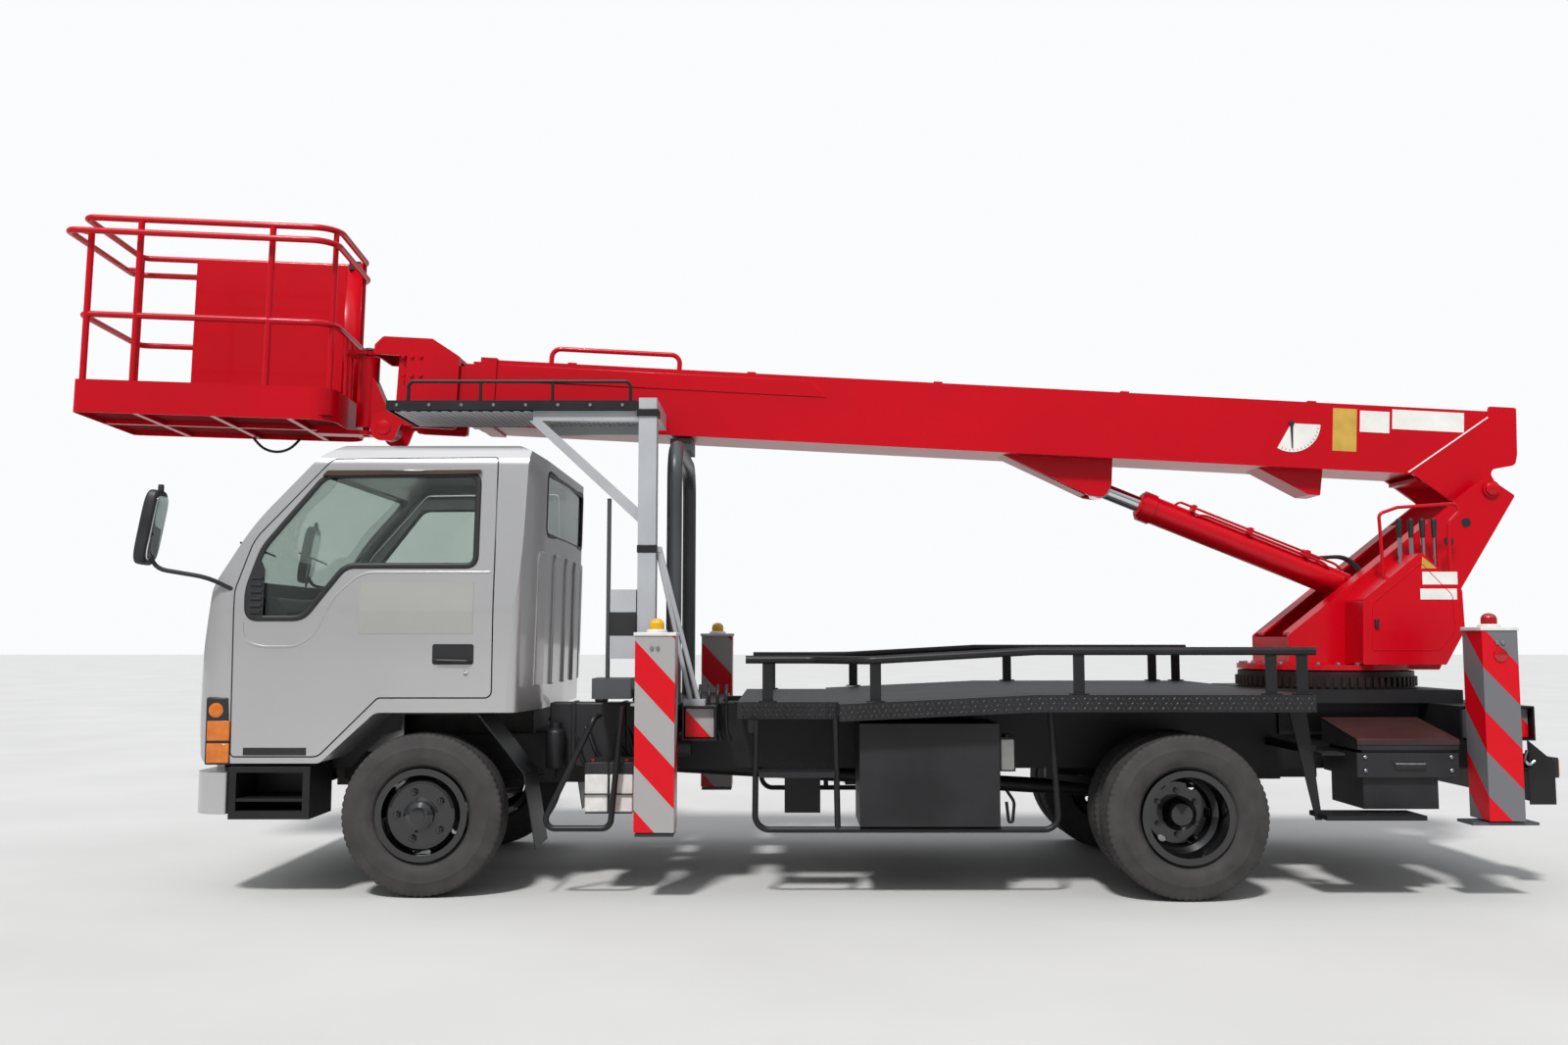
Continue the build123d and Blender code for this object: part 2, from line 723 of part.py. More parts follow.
def dashboard():
    """The dashboard across the cab and the steering column."""
    half = CAB_WIDTH / 2 - CAB_WALL - 60
    outline = [(1000, 1180), (1010, 1440), (760, 1470), (700, 1400), (730, 1230), (860, 1150)]
    board = side_plate(outline, -half, half, [20, 20, 60, 30, 30, 20])
    lean = math.radians(STEERING_COLUMN_LEAN)
    top = Vector(560, -SEAT_Y, 1400)
    axis = Vector(-math.sin(lean), 0, math.cos(lean))
    column = rod(tuple(top - axis * 60), tuple(top - axis * 480), 32)
    return board + column


def steering_wheel():
    """A steering wheel with three spokes on a leaning column, at the right-hand seat."""
    ring = Torus(STEERING_WHEEL_RADIUS, STEERING_WHEEL_TUBE)
    ring += Pos(0, 0, -20) * Cylinder(45, 40)
    for angle in (90, 210, 330):
        spoke = Pos(STEERING_WHEEL_RADIUS / 2, 0, -4) * Box(STEERING_WHEEL_RADIUS, 26, 12)
        ring += Rot(0, 0, angle) * spoke
    return Pos(560, -SEAT_Y, 1400) * Rot(0, -STEERING_COLUMN_LEAN, 0) * ring


def seats():
    """A driver's seat and a bench beside it, each a cushion and a back."""
    # Middle along y, and half the width
    places = [(-SEAT_Y, 250), (240, 440)]
    made = Part()
    for y, half in places:
        cushion = block(-230, 330, y - half, y + half, 1070, 1220)
        base = block(-200, 250, y - half + 40, y + half - 40, CAB_FLOOR_REAR + CAB_WALL, 1070)
        back = side_plate(
            [(-250, 1180), (-130, 1180), (-210, 1850), (-310, 1850)], y - half, y + half, 30
        )
        made += cushion + base + back
    return made


def front_bumper():
    """The bumper beam, wrapped round the cab's corners, with brackets to the rails."""
    half = CAB_WIDTH / 2
    inner = half - 60
    outline = [(940, -half), (1125, -half), (1125, half), (940, half)]
    hollow = [(939, -inner), (1080, -inner), (1080, inner), (939, inner)]
    beam = plan_plate(outline, 410, 610, [10, 150, 150, 10])
    beam -= plan_plate(hollow, 415, 605, [0, 90, 90, 0])
    brackets = both_sides(block(880, 1085, RAIL_Y - RAIL_WIDTH, RAIL_Y - RAIL_WALL, 590, 650))
    grille = block(1060, 1100, -700, 700, 610, 648)
    return beam + brackets + grille


def front_lamps():
    """Headlamps in the bumper line, corner lamps above and round side lamps."""
    half = CAB_WIDTH / 2
    side = block(1095, 1128, half - 420, half - 190, 700, 850)
    corner = block(1000, 1060, half - 20, half + 8, 660, 860)
    marker = cross_rod(1010, 926, half - 14, half + 10, 30)
    return both_sides(side + corner + marker)


def rear_lamps():
    """A lamp group at each end of the rear bumper."""
    lamp = block(FRAME_REAR - 156, FRAME_REAR - 121, 460, 720, 560, 660)
    return both_sides(lamp)


def front_arches():
    """A black mudguard behind and over each front wheel, clear of the steered tyre."""
    outline = [
        (150, 898), (-270, 898), (-506, 600), (-566, 240), (-560, 240), (-500, 598), (-265, 890),
        (150, 890),
    ]
    return both_sides(side_plate(outline, ARCH_INNER_Y, ARCH_OUTER_Y))


def mirrors():
    """A mirror in a housing on a bent arm, ahead of each door."""
    arm = bent_tube(
        [(955, 983, 1500), (1060, 1020, 1560), (1290, 1070, 1600), (1310, 1075, 1690)], 40, 12
    )
    housing = block(1255, 1360, 1010, 1150, 1640, 1950)
    housing = fillet(housing.edges().filter_by(Axis.Z), 30)
    return both_sides(arm + housing)


def cab_steps():
    """A step well under each door, ahead of the wheel."""
    half = CAB_WIDTH / 2
    well = block(535, 930, half - 330, half - 8, 385, 640)
    well -= block(570, 895, half - 290, half + 10, 425, 610)
    tread = block(560, 905, half - 290, half - 12, 470, 485)
    return both_sides(well + tread)


# Deck and what hangs under it
def deck_height(x):
    """The deck's top along x: level, then a slope up, then level."""
    if x > DECK_STEP_X:
        return DECK_LOW_TOP
    if x < DECK_SLOPE_END:
        return DECK_HIGH_TOP
    part = (DECK_STEP_X - x) / (DECK_STEP_X - DECK_SLOPE_END)
    return DECK_LOW_TOP + part * (DECK_HIGH_TOP - DECK_LOW_TOP)


def deck():
    """A plate with turned-down edges: a narrow front part and the wide main part."""
    low = DECK_LOW_TOP
    high = DECK_HIGH_TOP
    plate = DECK_PLATE
    skirt = DECK_SKIRT
    narrow = block(DECK_STEP_X, DECK_FRONT, -DECK_NARROW_Y, DECK_NARROW_Y, low - skirt, low)
    narrow -= block(
        DECK_STEP_X - 1, DECK_FRONT - plate, plate - DECK_NARROW_Y, DECK_NARROW_Y - plate,
        low - skirt - 1, low - plate,
    )
    outline = [
        (DECK_STEP_X, low), (DECK_SLOPE_END, high), (DECK_REAR, high), (DECK_REAR, high - skirt),
        (DECK_SLOPE_END, high - skirt), (DECK_STEP_X, low - skirt),
    ]
    hollow = [
        (DECK_STEP_X - plate, low - plate), (DECK_SLOPE_END, high - plate),
        (DECK_REAR + plate, high - plate), (DECK_REAR + plate, high - skirt - 20),
        (DECK_SLOPE_END, high - skirt - 20), (DECK_STEP_X - plate, low - skirt - 20),
    ]
    main = side_plate(outline, -DECK_Y, DECK_Y) - side_plate(hollow, plate - DECK_Y, DECK_Y - plate)
    y0 = RAIL_Y - SUBFRAME_WIDTH
    bearers = Part()
    for x in (-2200, -2900, -4150):
        top = deck_height(x) - plate
        bearers += both_sides(block(x - 30, x + 30, RAIL_Y, DECK_Y - plate, top - 60, top - 4))
        bearers += block(x - 30, x + 30, -y0, y0, SUBFRAME_TOP, top)
    pads = Part()
    for x in (-1700, -2450, -3500, -4250):
        pads += both_sides(block(x - 60, x + 60, y0, RAIL_Y, SUBFRAME_TOP, deck_height(x) - plate))
    passage = block(DECK_REAR - 1, DECK_FRONT + 1, -RAIL_Y, RAIL_Y, RAIL_TOP, SUBFRAME_TOP)
    return narrow + main + bearers + pads - passage


def deck_rails():
    """A handrail along each side of the deck, on flat posts."""
    y = DECK_Y - HANDRAIL_INSET
    narrow_y = DECK_NARROW_Y - HANDRAIL_INSET
    rail_z = DECK_LOW_TOP + HANDRAIL_HEIGHT
    high_z = DECK_HIGH_TOP + HANDRAIL_HEIGHT
    path = [
        (DECK_FRONT - 40, narrow_y, rail_z), (DECK_STEP_X + 120, narrow_y, rail_z),
        (DECK_STEP_X - 140, y, rail_z), (DECK_SLOPE_END, y, high_z),
        (DECK_REAR - HANDRAIL_OVERHANG, y, high_z),
    ]
    rail = bent_tube(path, 100, HANDRAIL_RADIUS)
    half = HANDRAIL_POST_WIDTH / 2
    for x in HANDRAIL_POSTS:
        foot = max(deck_height(x - 45), deck_height(x + 45)) + 1
        post_y = y if x < DECK_STEP_X - 140 else narrow_y
        rail += block(x - half, x + half, post_y - 5, post_y + 5, foot, foot + HANDRAIL_HEIGHT)
        rail += block(x - 45, x + 45, post_y - 22, post_y + 22, foot, foot + 6)
    return both_sides(rail)


def side_guards():
    """Tube guards and a step under the deck's edge, the front loops and the low rear steps."""
    y = DECK_NARROW_Y + 60
    low = 330
    guard = bent_tube(
        [(-1640, y, 860), (-1635, y, low), (-3125, y, low), (-3090, y, 900)], 70, RAIL_TUBE_RADIUS
    )
    guard += rod((-2030, y, 870), (-2040, y, low), RAIL_TUBE_RADIUS)
    guard += block(-2040, -1630, y - 140, y + 10, 600, 620)
    guard += block(-1640, -1600, y - 160, y + 10, 800, DECK_LOW_TOP - DECK_SKIRT - 2)
    loop = bent_tube(
        [(-985, 950, 930), (-930, 950, 340), (-590, 950, 340), (-850, 950, 880), (-850, 800, 880)],
        45, RAIL_TUBE_RADIUS,
    )
    # Tapered bracket and low tread behind the deck
    bracket = side_plate(
        [(-4255, 905), (-4340, 905), (-4400, 380), (-4370, 380)], DECK_Y - 140, DECK_Y - 130
    )
    tread = block(-4860, -4380, DECK_Y - 240, DECK_Y - 20, 392, 415)
    small = block(-4480, -4370, DECK_Y - 170, DECK_Y - 30, 700, 712)
    reach = block(-4380, -4340, RAIL_Y, DECK_Y - 130, 700, 740)
    return both_sides(guard + loop + bracket + tread + small + reach)


def tool_boxes():
    """The long side box, the battery box, the oil bottle and the rear box, hung on the frame."""
    side_box = block(-2830, -2147, 560, 965, 350, 846)
    battery = block(-1030, -800, 560, 900, 405, 650)
    bottle = block(-2935, -2857, 640, 800, 600, 765)
    air_box = block(-1970, -1780, 180, RAIL_Y - RAIL_WALL, 340, RAIL_TOP - RAIL_HEIGHT)
    low_box = block(-4976, -4610, 560, 940, 432, 600)
    upper_box = block(-5067, -4571, 560, 970, 588, 706)
    # The lid slopes down outwards
    lid = front_plate([(550, 726), (980, 722), (980, 770), (550, 850)], -5067, -4571)
    reach = block(-4950, -4700, RAIL_Y, 560, 640, 700)
    rear_box = both_sides(low_box + upper_box + lid + reach)
    # Start and end along x, and height, of each arm out from the rail
    arms = [(-2700, -2300, 640), (-1000, -860, 590), (-2920, -2840, 620)]
    made = side_box + battery + bottle + air_box + rear_box
    made += both_sides(block(-5040, -4600, 570, 960, 700, 730))
    for x0, x1, z in arms:
        made += block(x0, x1, RAIL_Y, 700, z, z + 60)
    return made


def fuel_tank():
    """The fuel tank and the oil tank on the right-hand side."""
    fuel = block(-2830, -2147, -900, -560, 380, 780)
    fuel = fillet(fuel.edges().filter_by(Axis.X), 60)
    oil = block(-1030, -800, -900, -560, 385, 800)
    straps = block(-2700, -2300, -600, -RAIL_Y, 600, 680) + block(-980, -860, -600, -RAIL_Y, 600, 680)
    return fuel + oil + straps


def rear_bumper():
    """The underrun bar behind the last outriggers, with its arms to the rails."""
    back = FRAME_REAR - 120
    half = 740
    beam = side_plate([(back, 430), (back, 550), (back + 60, 610), (back + 60, 430)], -half, half, 12)
    end_outline = [
        (FRAME_REAR + 10, 750), (back, 640), (back, 430), (FRAME_REAR + 10, 430)
    ]
    ends = both_sides(side_plate(end_outline, half, half + 10))
    plate = block(back, back + 20, -half, half, 545, 640)
    arm_y0 = RAIL_Y - RAIL_WIDTH
    arms = both_sides(
        block(back + 15, FRAME_REAR - 1, arm_y0, RAIL_Y - RAIL_WALL, 560, 740)
    )
    return beam + ends + plate + arms


# Gantry and boom rest
def gantry():
    """A post beside the boom that carries the access platform on two arms."""
    half = GANTRY_POST / 2
    foot_z = RAIL_TOP + CROSS_TUBE_SIZE
    post = box_tube(
        GANTRY_X - half, GANTRY_X + half, GANTRY_Y - half, GANTRY_Y + half, foot_z + 12, GANTRY_TOP - 60,
        5, "z",
    )
    foot = block(GANTRY_X - 160, GANTRY_X + 70, GANTRY_Y - 80, GANTRY_Y + 80, foot_z, foot_z + 12)
    header_y0 = PLATFORM_INNER_Y + 15
    header = block(
        GANTRY_X - half, GANTRY_X + half, header_y0, GANTRY_Y + half, GANTRY_TOP - 85, GANTRY_TOP
    )
    arm_top = PLATFORM_TOP - PLATFORM_HEIGHT
    made = post + foot + header
    for y in (PLATFORM_INNER_Y + 40, GANTRY_Y):
        made += block(GANTRY_X, -490, y - 25, y + 25, arm_top - 52, arm_top)
    brace = [(-470, arm_top - 52), (-535, arm_top - 52), (-1034, 1925), (-1034, 1850)]
    made += side_plate(brace, GANTRY_Y - 25, GANTRY_Y + 25)
    for shift in (0, 40):
        top_point = (-1130 - shift * 0.3, GANTRY_Y, 1720)
        made += rod(top_point, (-1305 - shift, GANTRY_Y, foot_z + 20), 12)
    link = block(GANTRY_X, -1152, GANTRY_Y - 14, GANTRY_Y + 14, 1700, 1728)
    shoe = block(-1380, -1270, GANTRY_Y - 40, GANTRY_Y + 40, foot_z, foot_z + 30)
    # A small case that hangs on the post's front side
    case = block(-1030, -900, GANTRY_Y - 60, GANTRY_Y + 60, 1160, 1508)
    return made + link + shoe + case


def access_platform():
    """A walkway beside the boom over the cab: a frame, a mesh floor and a low rail."""
    top = PLATFORM_TOP
    bottom = top - PLATFORM_HEIGHT
    frame = box_tube(
        PLATFORM_REAR, PLATFORM_FRONT, PLATFORM_INNER_Y, PLATFORM_OUTER_Y, bottom, top, 6, "z"
    )
    frame += block(
        PLATFORM_REAR, PLATFORM_FRONT, PLATFORM_INNER_Y, PLATFORM_OUTER_Y, bottom + 24, bottom + 30
    )
    rail_y = PLATFORM_OUTER_Y - 12
    path = [
        (-990, rail_y, top), (-990, rail_y, top + 100), (150, rail_y, top + 100), (150, rail_y, top)
    ]
    frame += bent_tube(path, 30, 9)
    for x in (-590, -220):
        frame += upright_rod(x, rail_y, top, top + 100, 8)
    return frame


def boom_rest():
    """A hoop that the stowed boom lies on, with a pad under the boom, and a pole by the cab."""
    foot_z = RAIL_TOP + CROSS_TUBE_SIZE
    middle = REST_TOP - REST_TUBE_RADIUS
    path = [
        (REST_X, -REST_Y, foot_z), (REST_X, -REST_Y, middle), (REST_X, REST_Y, middle),
        (REST_X, REST_Y, foot_z),
    ]
    hoop = bent_tube(path, 190, REST_TUBE_RADIUS)
    lean = math.radians(BOOM_TILT)
    reach = (REST_X - PIVOT_X) / math.cos(lean)
    boom_z = PIVOT_Z + reach * math.sin(lean) + BOOM_BOTTOM / math.cos(lean)
    pad = block(REST_X - 60, REST_X + 60, -150, 150, REST_TOP - 20, boom_z - PAD_CLEARANCE - 4)
    pole = upright_rod(-883, GANTRY_Y, 1062, 1975, 11)
    bracket = block(-1010, -815, GANTRY_Y - 130, GANTRY_Y + 80, 960, 1062)
    tie = block(-1140, -1010, GANTRY_Y - 130, GANTRY_Y - 85, 940, 1000)
    return hoop + pad + pole + bracket + tie


# Turntable and lift cylinder
def turntable():
    """A round plate on the ring, a box, and two cheeks that lean back to the boom's pivot."""
    z0 = SLEW_BOTTOM + SLEW_HEIGHT + TABLE_GAP
    disc = upright_rod(SLEW_X, 0, z0, z0 + TABLE_PLATE, SLEW_RADIUS - 10)
    inner = TABLE_HALF_WIDTH - CHEEK_THICKNESS
    plate_top = z0 + TABLE_PLATE
    outline = [
        (-4515, z0), (-4515, 1279), (PIVOT_X + 22, 2150), (PIVOT_X - 133, 2041), (-5461, 1523),
        (-5431, 1305), (-5330, z0),
    ]
    cheek = side_plate(outline, inner, TABLE_HALF_WIDTH, [0, 20, 12, 12, 60, 30, 0])
    cheek += cross_rod(PIVOT_X, PIVOT_Z, inner - 8, TABLE_HALF_WIDTH + 14, PIVOT_BOSS)
    # A flange along the slanted front edge
    cheek += side_plate([(-4535, 1294), (-5330, 1917), (-5330, 1902), (-4535, 1279)], 150, inner)
    nose = block(-4535, -4515, -inner, inner, z0, 1270)
    back_outline = [
        (-5330, plate_top), (-5431, 1305), (-5461, 1523), (-5440, 1530), (-5408, 1310),
        (-5306, plate_top),
    ]
    back = side_plate(back_outline, -inner, inner)
    floor = block(-5320, -4520, -inner, inner, z0 + 10, plate_top)
    foot_x = LIFT_FOOT_X
    ears = both_sides(block(foot_x - 90, foot_x + 90, 95, 125, z0 + 20, LIFT_FOOT_Z + 70))
    foot_pin = cross_rod(LIFT_FOOT_X, LIFT_FOOT_Z, -125, 125, LIFT_PIN_RADIUS)
    pivot_pin = cross_rod(PIVOT_X, PIVOT_Z, -inner, inner, PIVOT_RADIUS)
    return disc + both_sides(cheek) + nose + back + floor + ears + foot_pin + pivot_pin


def control_cabinet():
    """The control box on the turntable's left side, with its levers and their guard."""
    z0 = SLEW_BOTTOM + SLEW_HEIGHT + TABLE_GAP + TABLE_PLATE + 3
    outline = [
        (-4817, z0), (-4830, 1464), (-5145, 1718), (-5354, 1516), (-5360, 1304), (-5255, z0)
    ]
    y0 = TABLE_HALF_WIDTH
    body = side_plate(outline, y0, y0 + 230, [10, 30, 20, 20, 20, 10])
    lever_y = y0 + 120
    for index in range(4):
        x = -5085 - 62 * index
        foot = 1660 - 45 * index
        body += rod((x, lever_y, foot - 60), (x, lever_y, 1880), 9)
        body += Pos(x, lever_y, 1885) * Sphere(16)
    guard = bent_tube(
        [(-4975, lever_y + 40, 1560), (-4960, lever_y + 40, 1925), (-5060, lever_y + 40, 1960),
         (-5430, lever_y + 40, 1985), (-5330, lever_y + 40, 1880), (-5330, lever_y + 40, 1500)],
        30, 9,
    )
    return body + guard


def along_lift(distance):
    """A point on the lift cylinder's axis, counted from its foot pin."""
    foot = Vector(LIFT_FOOT_X, 0, LIFT_FOOT_Z)
    way = Vector(LIFT_EYE_X, 0, LIFT_EYE_Z) - foot
    return tuple(foot + way.normalized() * distance)


LIFT_LENGTH = math.dist((LIFT_FOOT_X, LIFT_FOOT_Z), (LIFT_EYE_X, LIFT_EYE_Z))
LIFT_BARREL_LENGTH = LIFT_LENGTH - LIFT_ROD_SHOWN


def lift_barrel():
    """The lift cylinder's barrel, with its foot eye and the collar at its open end."""
    end = along_lift(LIFT_BARREL_LENGTH)
    barrel = rod(along_lift(60), end, LIFT_BARREL_RADIUS)
    barrel += cross_rod(LIFT_FOOT_X, LIFT_FOOT_Z, -84, 84, LIFT_BARREL_RADIUS + 2)
    barrel += rod(along_lift(LIFT_BARREL_LENGTH - 70), end, LIFT_BARREL_RADIUS + 9)
    barrel -= cross_rod(LIFT_FOOT_X, LIFT_FOOT_Z, -90, 90, LIFT_PIN_RADIUS + SPINDLE_GAP)
    bore = LIFT_ROD_RADIUS + LIFT_ROD_GAP
    return barrel - rod(along_lift(160), along_lift(LIFT_BARREL_LENGTH + 10), bore)


def lift_rod():
    """The lift cylinder's rod with the eye at its tip."""
    shaft = rod(along_lift(170), along_lift(LIFT_LENGTH - 30), LIFT_ROD_RADIUS)
    eye = cross_rod(LIFT_EYE_X, LIFT_EYE_Z, -55, 55, LIFT_EYE_RADIUS)
    return shaft + eye - cross_rod(LIFT_EYE_X, LIFT_EYE_Z, -60, 60, LIFT_PIN_RADIUS - 2)


# Boom. Its own axes start at the pivot: u along the boom, w at right angles to it.
BOOM_FRAME = Pos(PIVOT_X, 0, PIVOT_Z) * Rot(0, -BOOM_TILT, 0)


def to_boom(x, z):
    """The place of a point of the truck in the boom's own axes."""
    lean = math.radians(BOOM_TILT)
    dx = x - PIVOT_X
    dz = z - PIVOT_Z
    return dx * math.cos(lean) + dz * math.sin(lean), dz * math.cos(lean) - dx * math.sin(lean)


def boom_section(number):
    """One of the nested box tubes. Number 0 is the outermost."""
    inset = number * (BOOM_WALL + BOOM_GAP)
    half = BOOM_WIDTH / 2 - inset
    rear = BOOM_FOOT + 60 + 80 * number
    front = BOOM_FRONT + BOOM_STEP * number
    z0 = BOOM_BOTTOM + inset
    z1 = BOOM_BOTTOM + BOOM_HEIGHT - inset
    return box_tube(rear, front, -half, half, z0, z1, BOOM_WALL, "x")


def boom_base():
    """The outer boom section with its tail, pivot, cylinder bracket and grab hoop."""
    tube = boom_section(0)
    top = BOOM_BOTTOM + BOOM_HEIGHT
    half = BOOM_WIDTH / 2
    rear = BOOM_FOOT + 60
    tail_top = top + 28
    tail = [
        (rear + 20, BOOM_BOTTOM), (180, -55), (60, -70), (-70, -40), (-75, 60), (-40, 120), (-190, 155),
        (-200, 215), (-193, tail_top), (-45, tail_top), (-40, top), (rear + 20, top),
    ]
    inner = half - 22
    plate = side_plate(tail, inner, half, [0, 30, 40, 40, 40, 30, 30, 30, 12, 4, 0, 0])
    plate -= cross_rod(0, 0, inner - 8, half + 10, PIVOT_RADIUS + SPINDLE_GAP)
    tail_back = block(-185, rear, -inner, inner, top - 22, top)
    tail_end = block(-193, -175, -inner, inner, 230, top + 10)
    tail_floor = block(180, rear, -inner, inner, BOOM_BOTTOM - 40, BOOM_BOTTOM - 20)
    base = tube + both_sides(plate) + tail_back + tail_end + tail_floor
    eye_u, eye_w = to_boom(LIFT_EYE_X, LIFT_EYE_Z)
    wedge_end = eye_u + 560
    ear_outline = [
        (eye_u - 60, BOOM_BOTTOM), (eye_u - 60, eye_w + 10), (eye_u - 20, eye_w - 62),
        (eye_u + 60, eye_w - 55), (wedge_end, BOOM_BOTTOM),
    ]
    base += both_sides(side_plate(ear_outline, 66, 90, [0, 30, 40, 30, 0]))
    web_outline = [
        (eye_u + 85, eye_w - 50), (wedge_end, BOOM_BOTTOM), (wedge_end - 25, BOOM_BOTTOM),
        (eye_u + 85, eye_w - 35),
    ]
    base += side_plate(web_outline, -70, 70)
    stop_outline = [(1215, BOOM_BOTTOM), (925, -60), (860, -60), (850, BOOM_BOTTOM)]
    base += side_plate(stop_outline, -100, 100)
    collar_rear = BOOM_FRONT - 90
    collar = block(collar_rear, BOOM_FRONT, -half - 10, half + 10, BOOM_BOTTOM - 10, top + 10)
    base += collar - block(
        collar_rear - 1, BOOM_FRONT + 1, -half + 2, half - 2, BOOM_BOTTOM + 2, top - 2
    )
    hoop_z = top + 118
    base += bent_tube([(5240, 0, top), (5240, 0, hoop_z), (4505, 0, hoop_z), (4505, 0, top)], 50, 14)
    for u in (5120, 4090, 3020, 1950, 880):
        base += block(u - 25, u + 25, -8, 8, top, top + 42)
    return BOOM_FRAME * base


def boom_inner(number):
    """The second or third boom section."""
    return BOOM_FRAME * boom_section(number)


def boom_tip():
    """The last section with the head that carries the basket's bracket."""
    pivot_u, pivot_w = to_boom(LEVEL_PIVOT_X, LEVEL_PIVOT_Z)
    inner = BOOM_WIDTH / 2 - 3 * (BOOM_WALL + BOOM_GAP)
    front = BOOM_FRONT + 3 * BOOM_STEP
    tube = boom_section(3)
    ear = HEAD_EAR_RADIUS
    plate = [
        (front - 10, 52), (pivot_u - 150, 52), (pivot_u - 95, 75), (pivot_u - 62, pivot_w - ear),
        (pivot_u + ear, pivot_w - ear), (pivot_u + ear, pivot_w + ear),
        (pivot_u - 60, pivot_w + 110), (pivot_u - 60, 470), (front - 10, 470),
    ]
    cheek = side_plate(plate, inner - 20, inner, [20, 20, 15, 40, 60, 60, 30, 20, 20])
    wide_front = pivot_u - 110
    wide_outline = [
        (front - 10, 58), (wide_front, 58), (wide_front, 460), (front - 10, 460)
    ]
    wide = side_plate(wide_outline, inner, HEAD_HALF_WIDTH, 12)
    cover_outline = [
        (front + 5, 470), (front + 150, 555), (pivot_u + 32, 555), (pivot_u + 77, 505),
        (pivot_u + 77, 450), (front + 5, 450),
    ]
    cover = side_plate(cover_outline, -HEAD_HALF_WIDTH, HEAD_HALF_WIDTH, [0, 20, 20, 20, 0, 0])
    hollow_outline = [
        (front + 25, 449), (front + 25, 466), (front + 153, 545), (pivot_u + 28, 545),
        (pivot_u + 67, 501), (pivot_u + 67, 449),
    ]
    cover -= side_plate(hollow_outline, 10 - HEAD_HALF_WIDTH, HEAD_HALF_WIDTH - 10)
    pin = cross_rod(pivot_u, pivot_w, -inner, inner, LEVEL_PIN_RADIUS)
    head = tube + both_sides(cheek) + both_sides(wide) + cover + pin
    return BOOM_FRAME * head


# Basket. Its own axes start at the level pivot: u forward, w up, a little nose up.
# The basket itself is swung a little to the left about the column.
BASKET_FRAME = Pos(LEVEL_PIVOT_X, 0, LEVEL_PIVOT_Z) * Rot(0, -BASKET_TILT, 0)
SWUNG_FRAME = BASKET_FRAME * Pos(SWING_OUT, 0, 0) * Rot(0, 0, BASKET_YAW) * Pos(-SWING_OUT, 0, 0)


def basket_bracket():
    """The levelled bracket: a lug on the level pin and an upright swing column."""
    outline = [
        (-45, -45), (20, -58), (85, 12), (SWING_OUT, 12), (SWING_OUT, 300), (95, 300), (-20, 58),
        (-58, 20),
    ]
    lug = side_plate(outline, -48, 48, [40, 20, 10, 0, 0, 20, 20, 30])
    lug -= cross_rod(0, 0, -60, 60, LEVEL_PIN_RADIUS + SPINDLE_GAP)
    column = upright_rod(SWING_OUT, 0, 12, COLUMN_HEIGHT, COLUMN_RADIUS)
    pin = upright_rod(SWING_OUT, 0, -36, COLUMN_HEIGHT + 44, SWING_PIN_RADIUS)
    return BASKET_FRAME * (lug + column + pin)


def basket_outline(rear, front, half):
    """The basket's outline from above, with its corners in the same order."""
    return [(rear, -half), (front, -half), (front, half), (rear, half)]


def basket_tray():
    """The basket's floor tray, with its lugs on the swing pins."""
    half = TRAY_HALF_WIDTH
    wall = TRAY_WALL
    corners = [TRAY_CORNER, 30, 30, TRAY_CORNER]
    inner_corners = [corner - wall for corner in corners]
    outline = basket_outline(TRAY_REAR, TRAY_FRONT, half)
    inner = basket_outline(TRAY_REAR + wall, TRAY_FRONT - wall, half - wall)
    tray = plan_plate(outline, TRAY_BOTTOM, TRAY_TOP, corners)
    tray -= plan_plate(inner, TRAY_FLOOR, TRAY_TOP + 1, inner_corners)
    tray -= plan_plate(inner, TRAY_BOTTOM - 1, TRAY_FLOOR - 5, inner_corners)
    rib_low = TRAY_BOTTOM + 2
    rib_top = TRAY_FLOOR - 3
    for u in (460, 860, 1260):
        tray += block(u - 15, u + 15, wall - half, half - wall, rib_low, rib_top)
    tray += block(TRAY_REAR + 4, TRAY_FRONT - 4, -15, 15, rib_low, rib_top)
    low = block(SWING_OUT, 400, -60, 60, -30, -6) + upright_rod(SWING_OUT, 0, -30, -6, COLUMN_RADIUS)
    low += block(TRAY_REAR, 400, -60, 60, -10, TRAY_FLOOR - 3)
    low -= upright_rod(SWING_OUT, 0, -40, 0, SWING_PIN_RADIUS + SPINDLE_GAP)
    return SWUNG_FRAME * (tray + low)


def rail_ring(front, half, height):
    """A closed frame of tube round the basket: wide corners at the rear, tight ones in front."""
    rear = RAIL_REAR
    made = Part()
    for side in (-1, 1):
        path = [
            (rear, 0, height), (rear, side * half, height), (front, side * half, height),
            (front, 0, height),
        ]
        made += bent_tube(path, [TRAY_CORNER, 50], BASKET_TUBE_RADIUS)
    return made


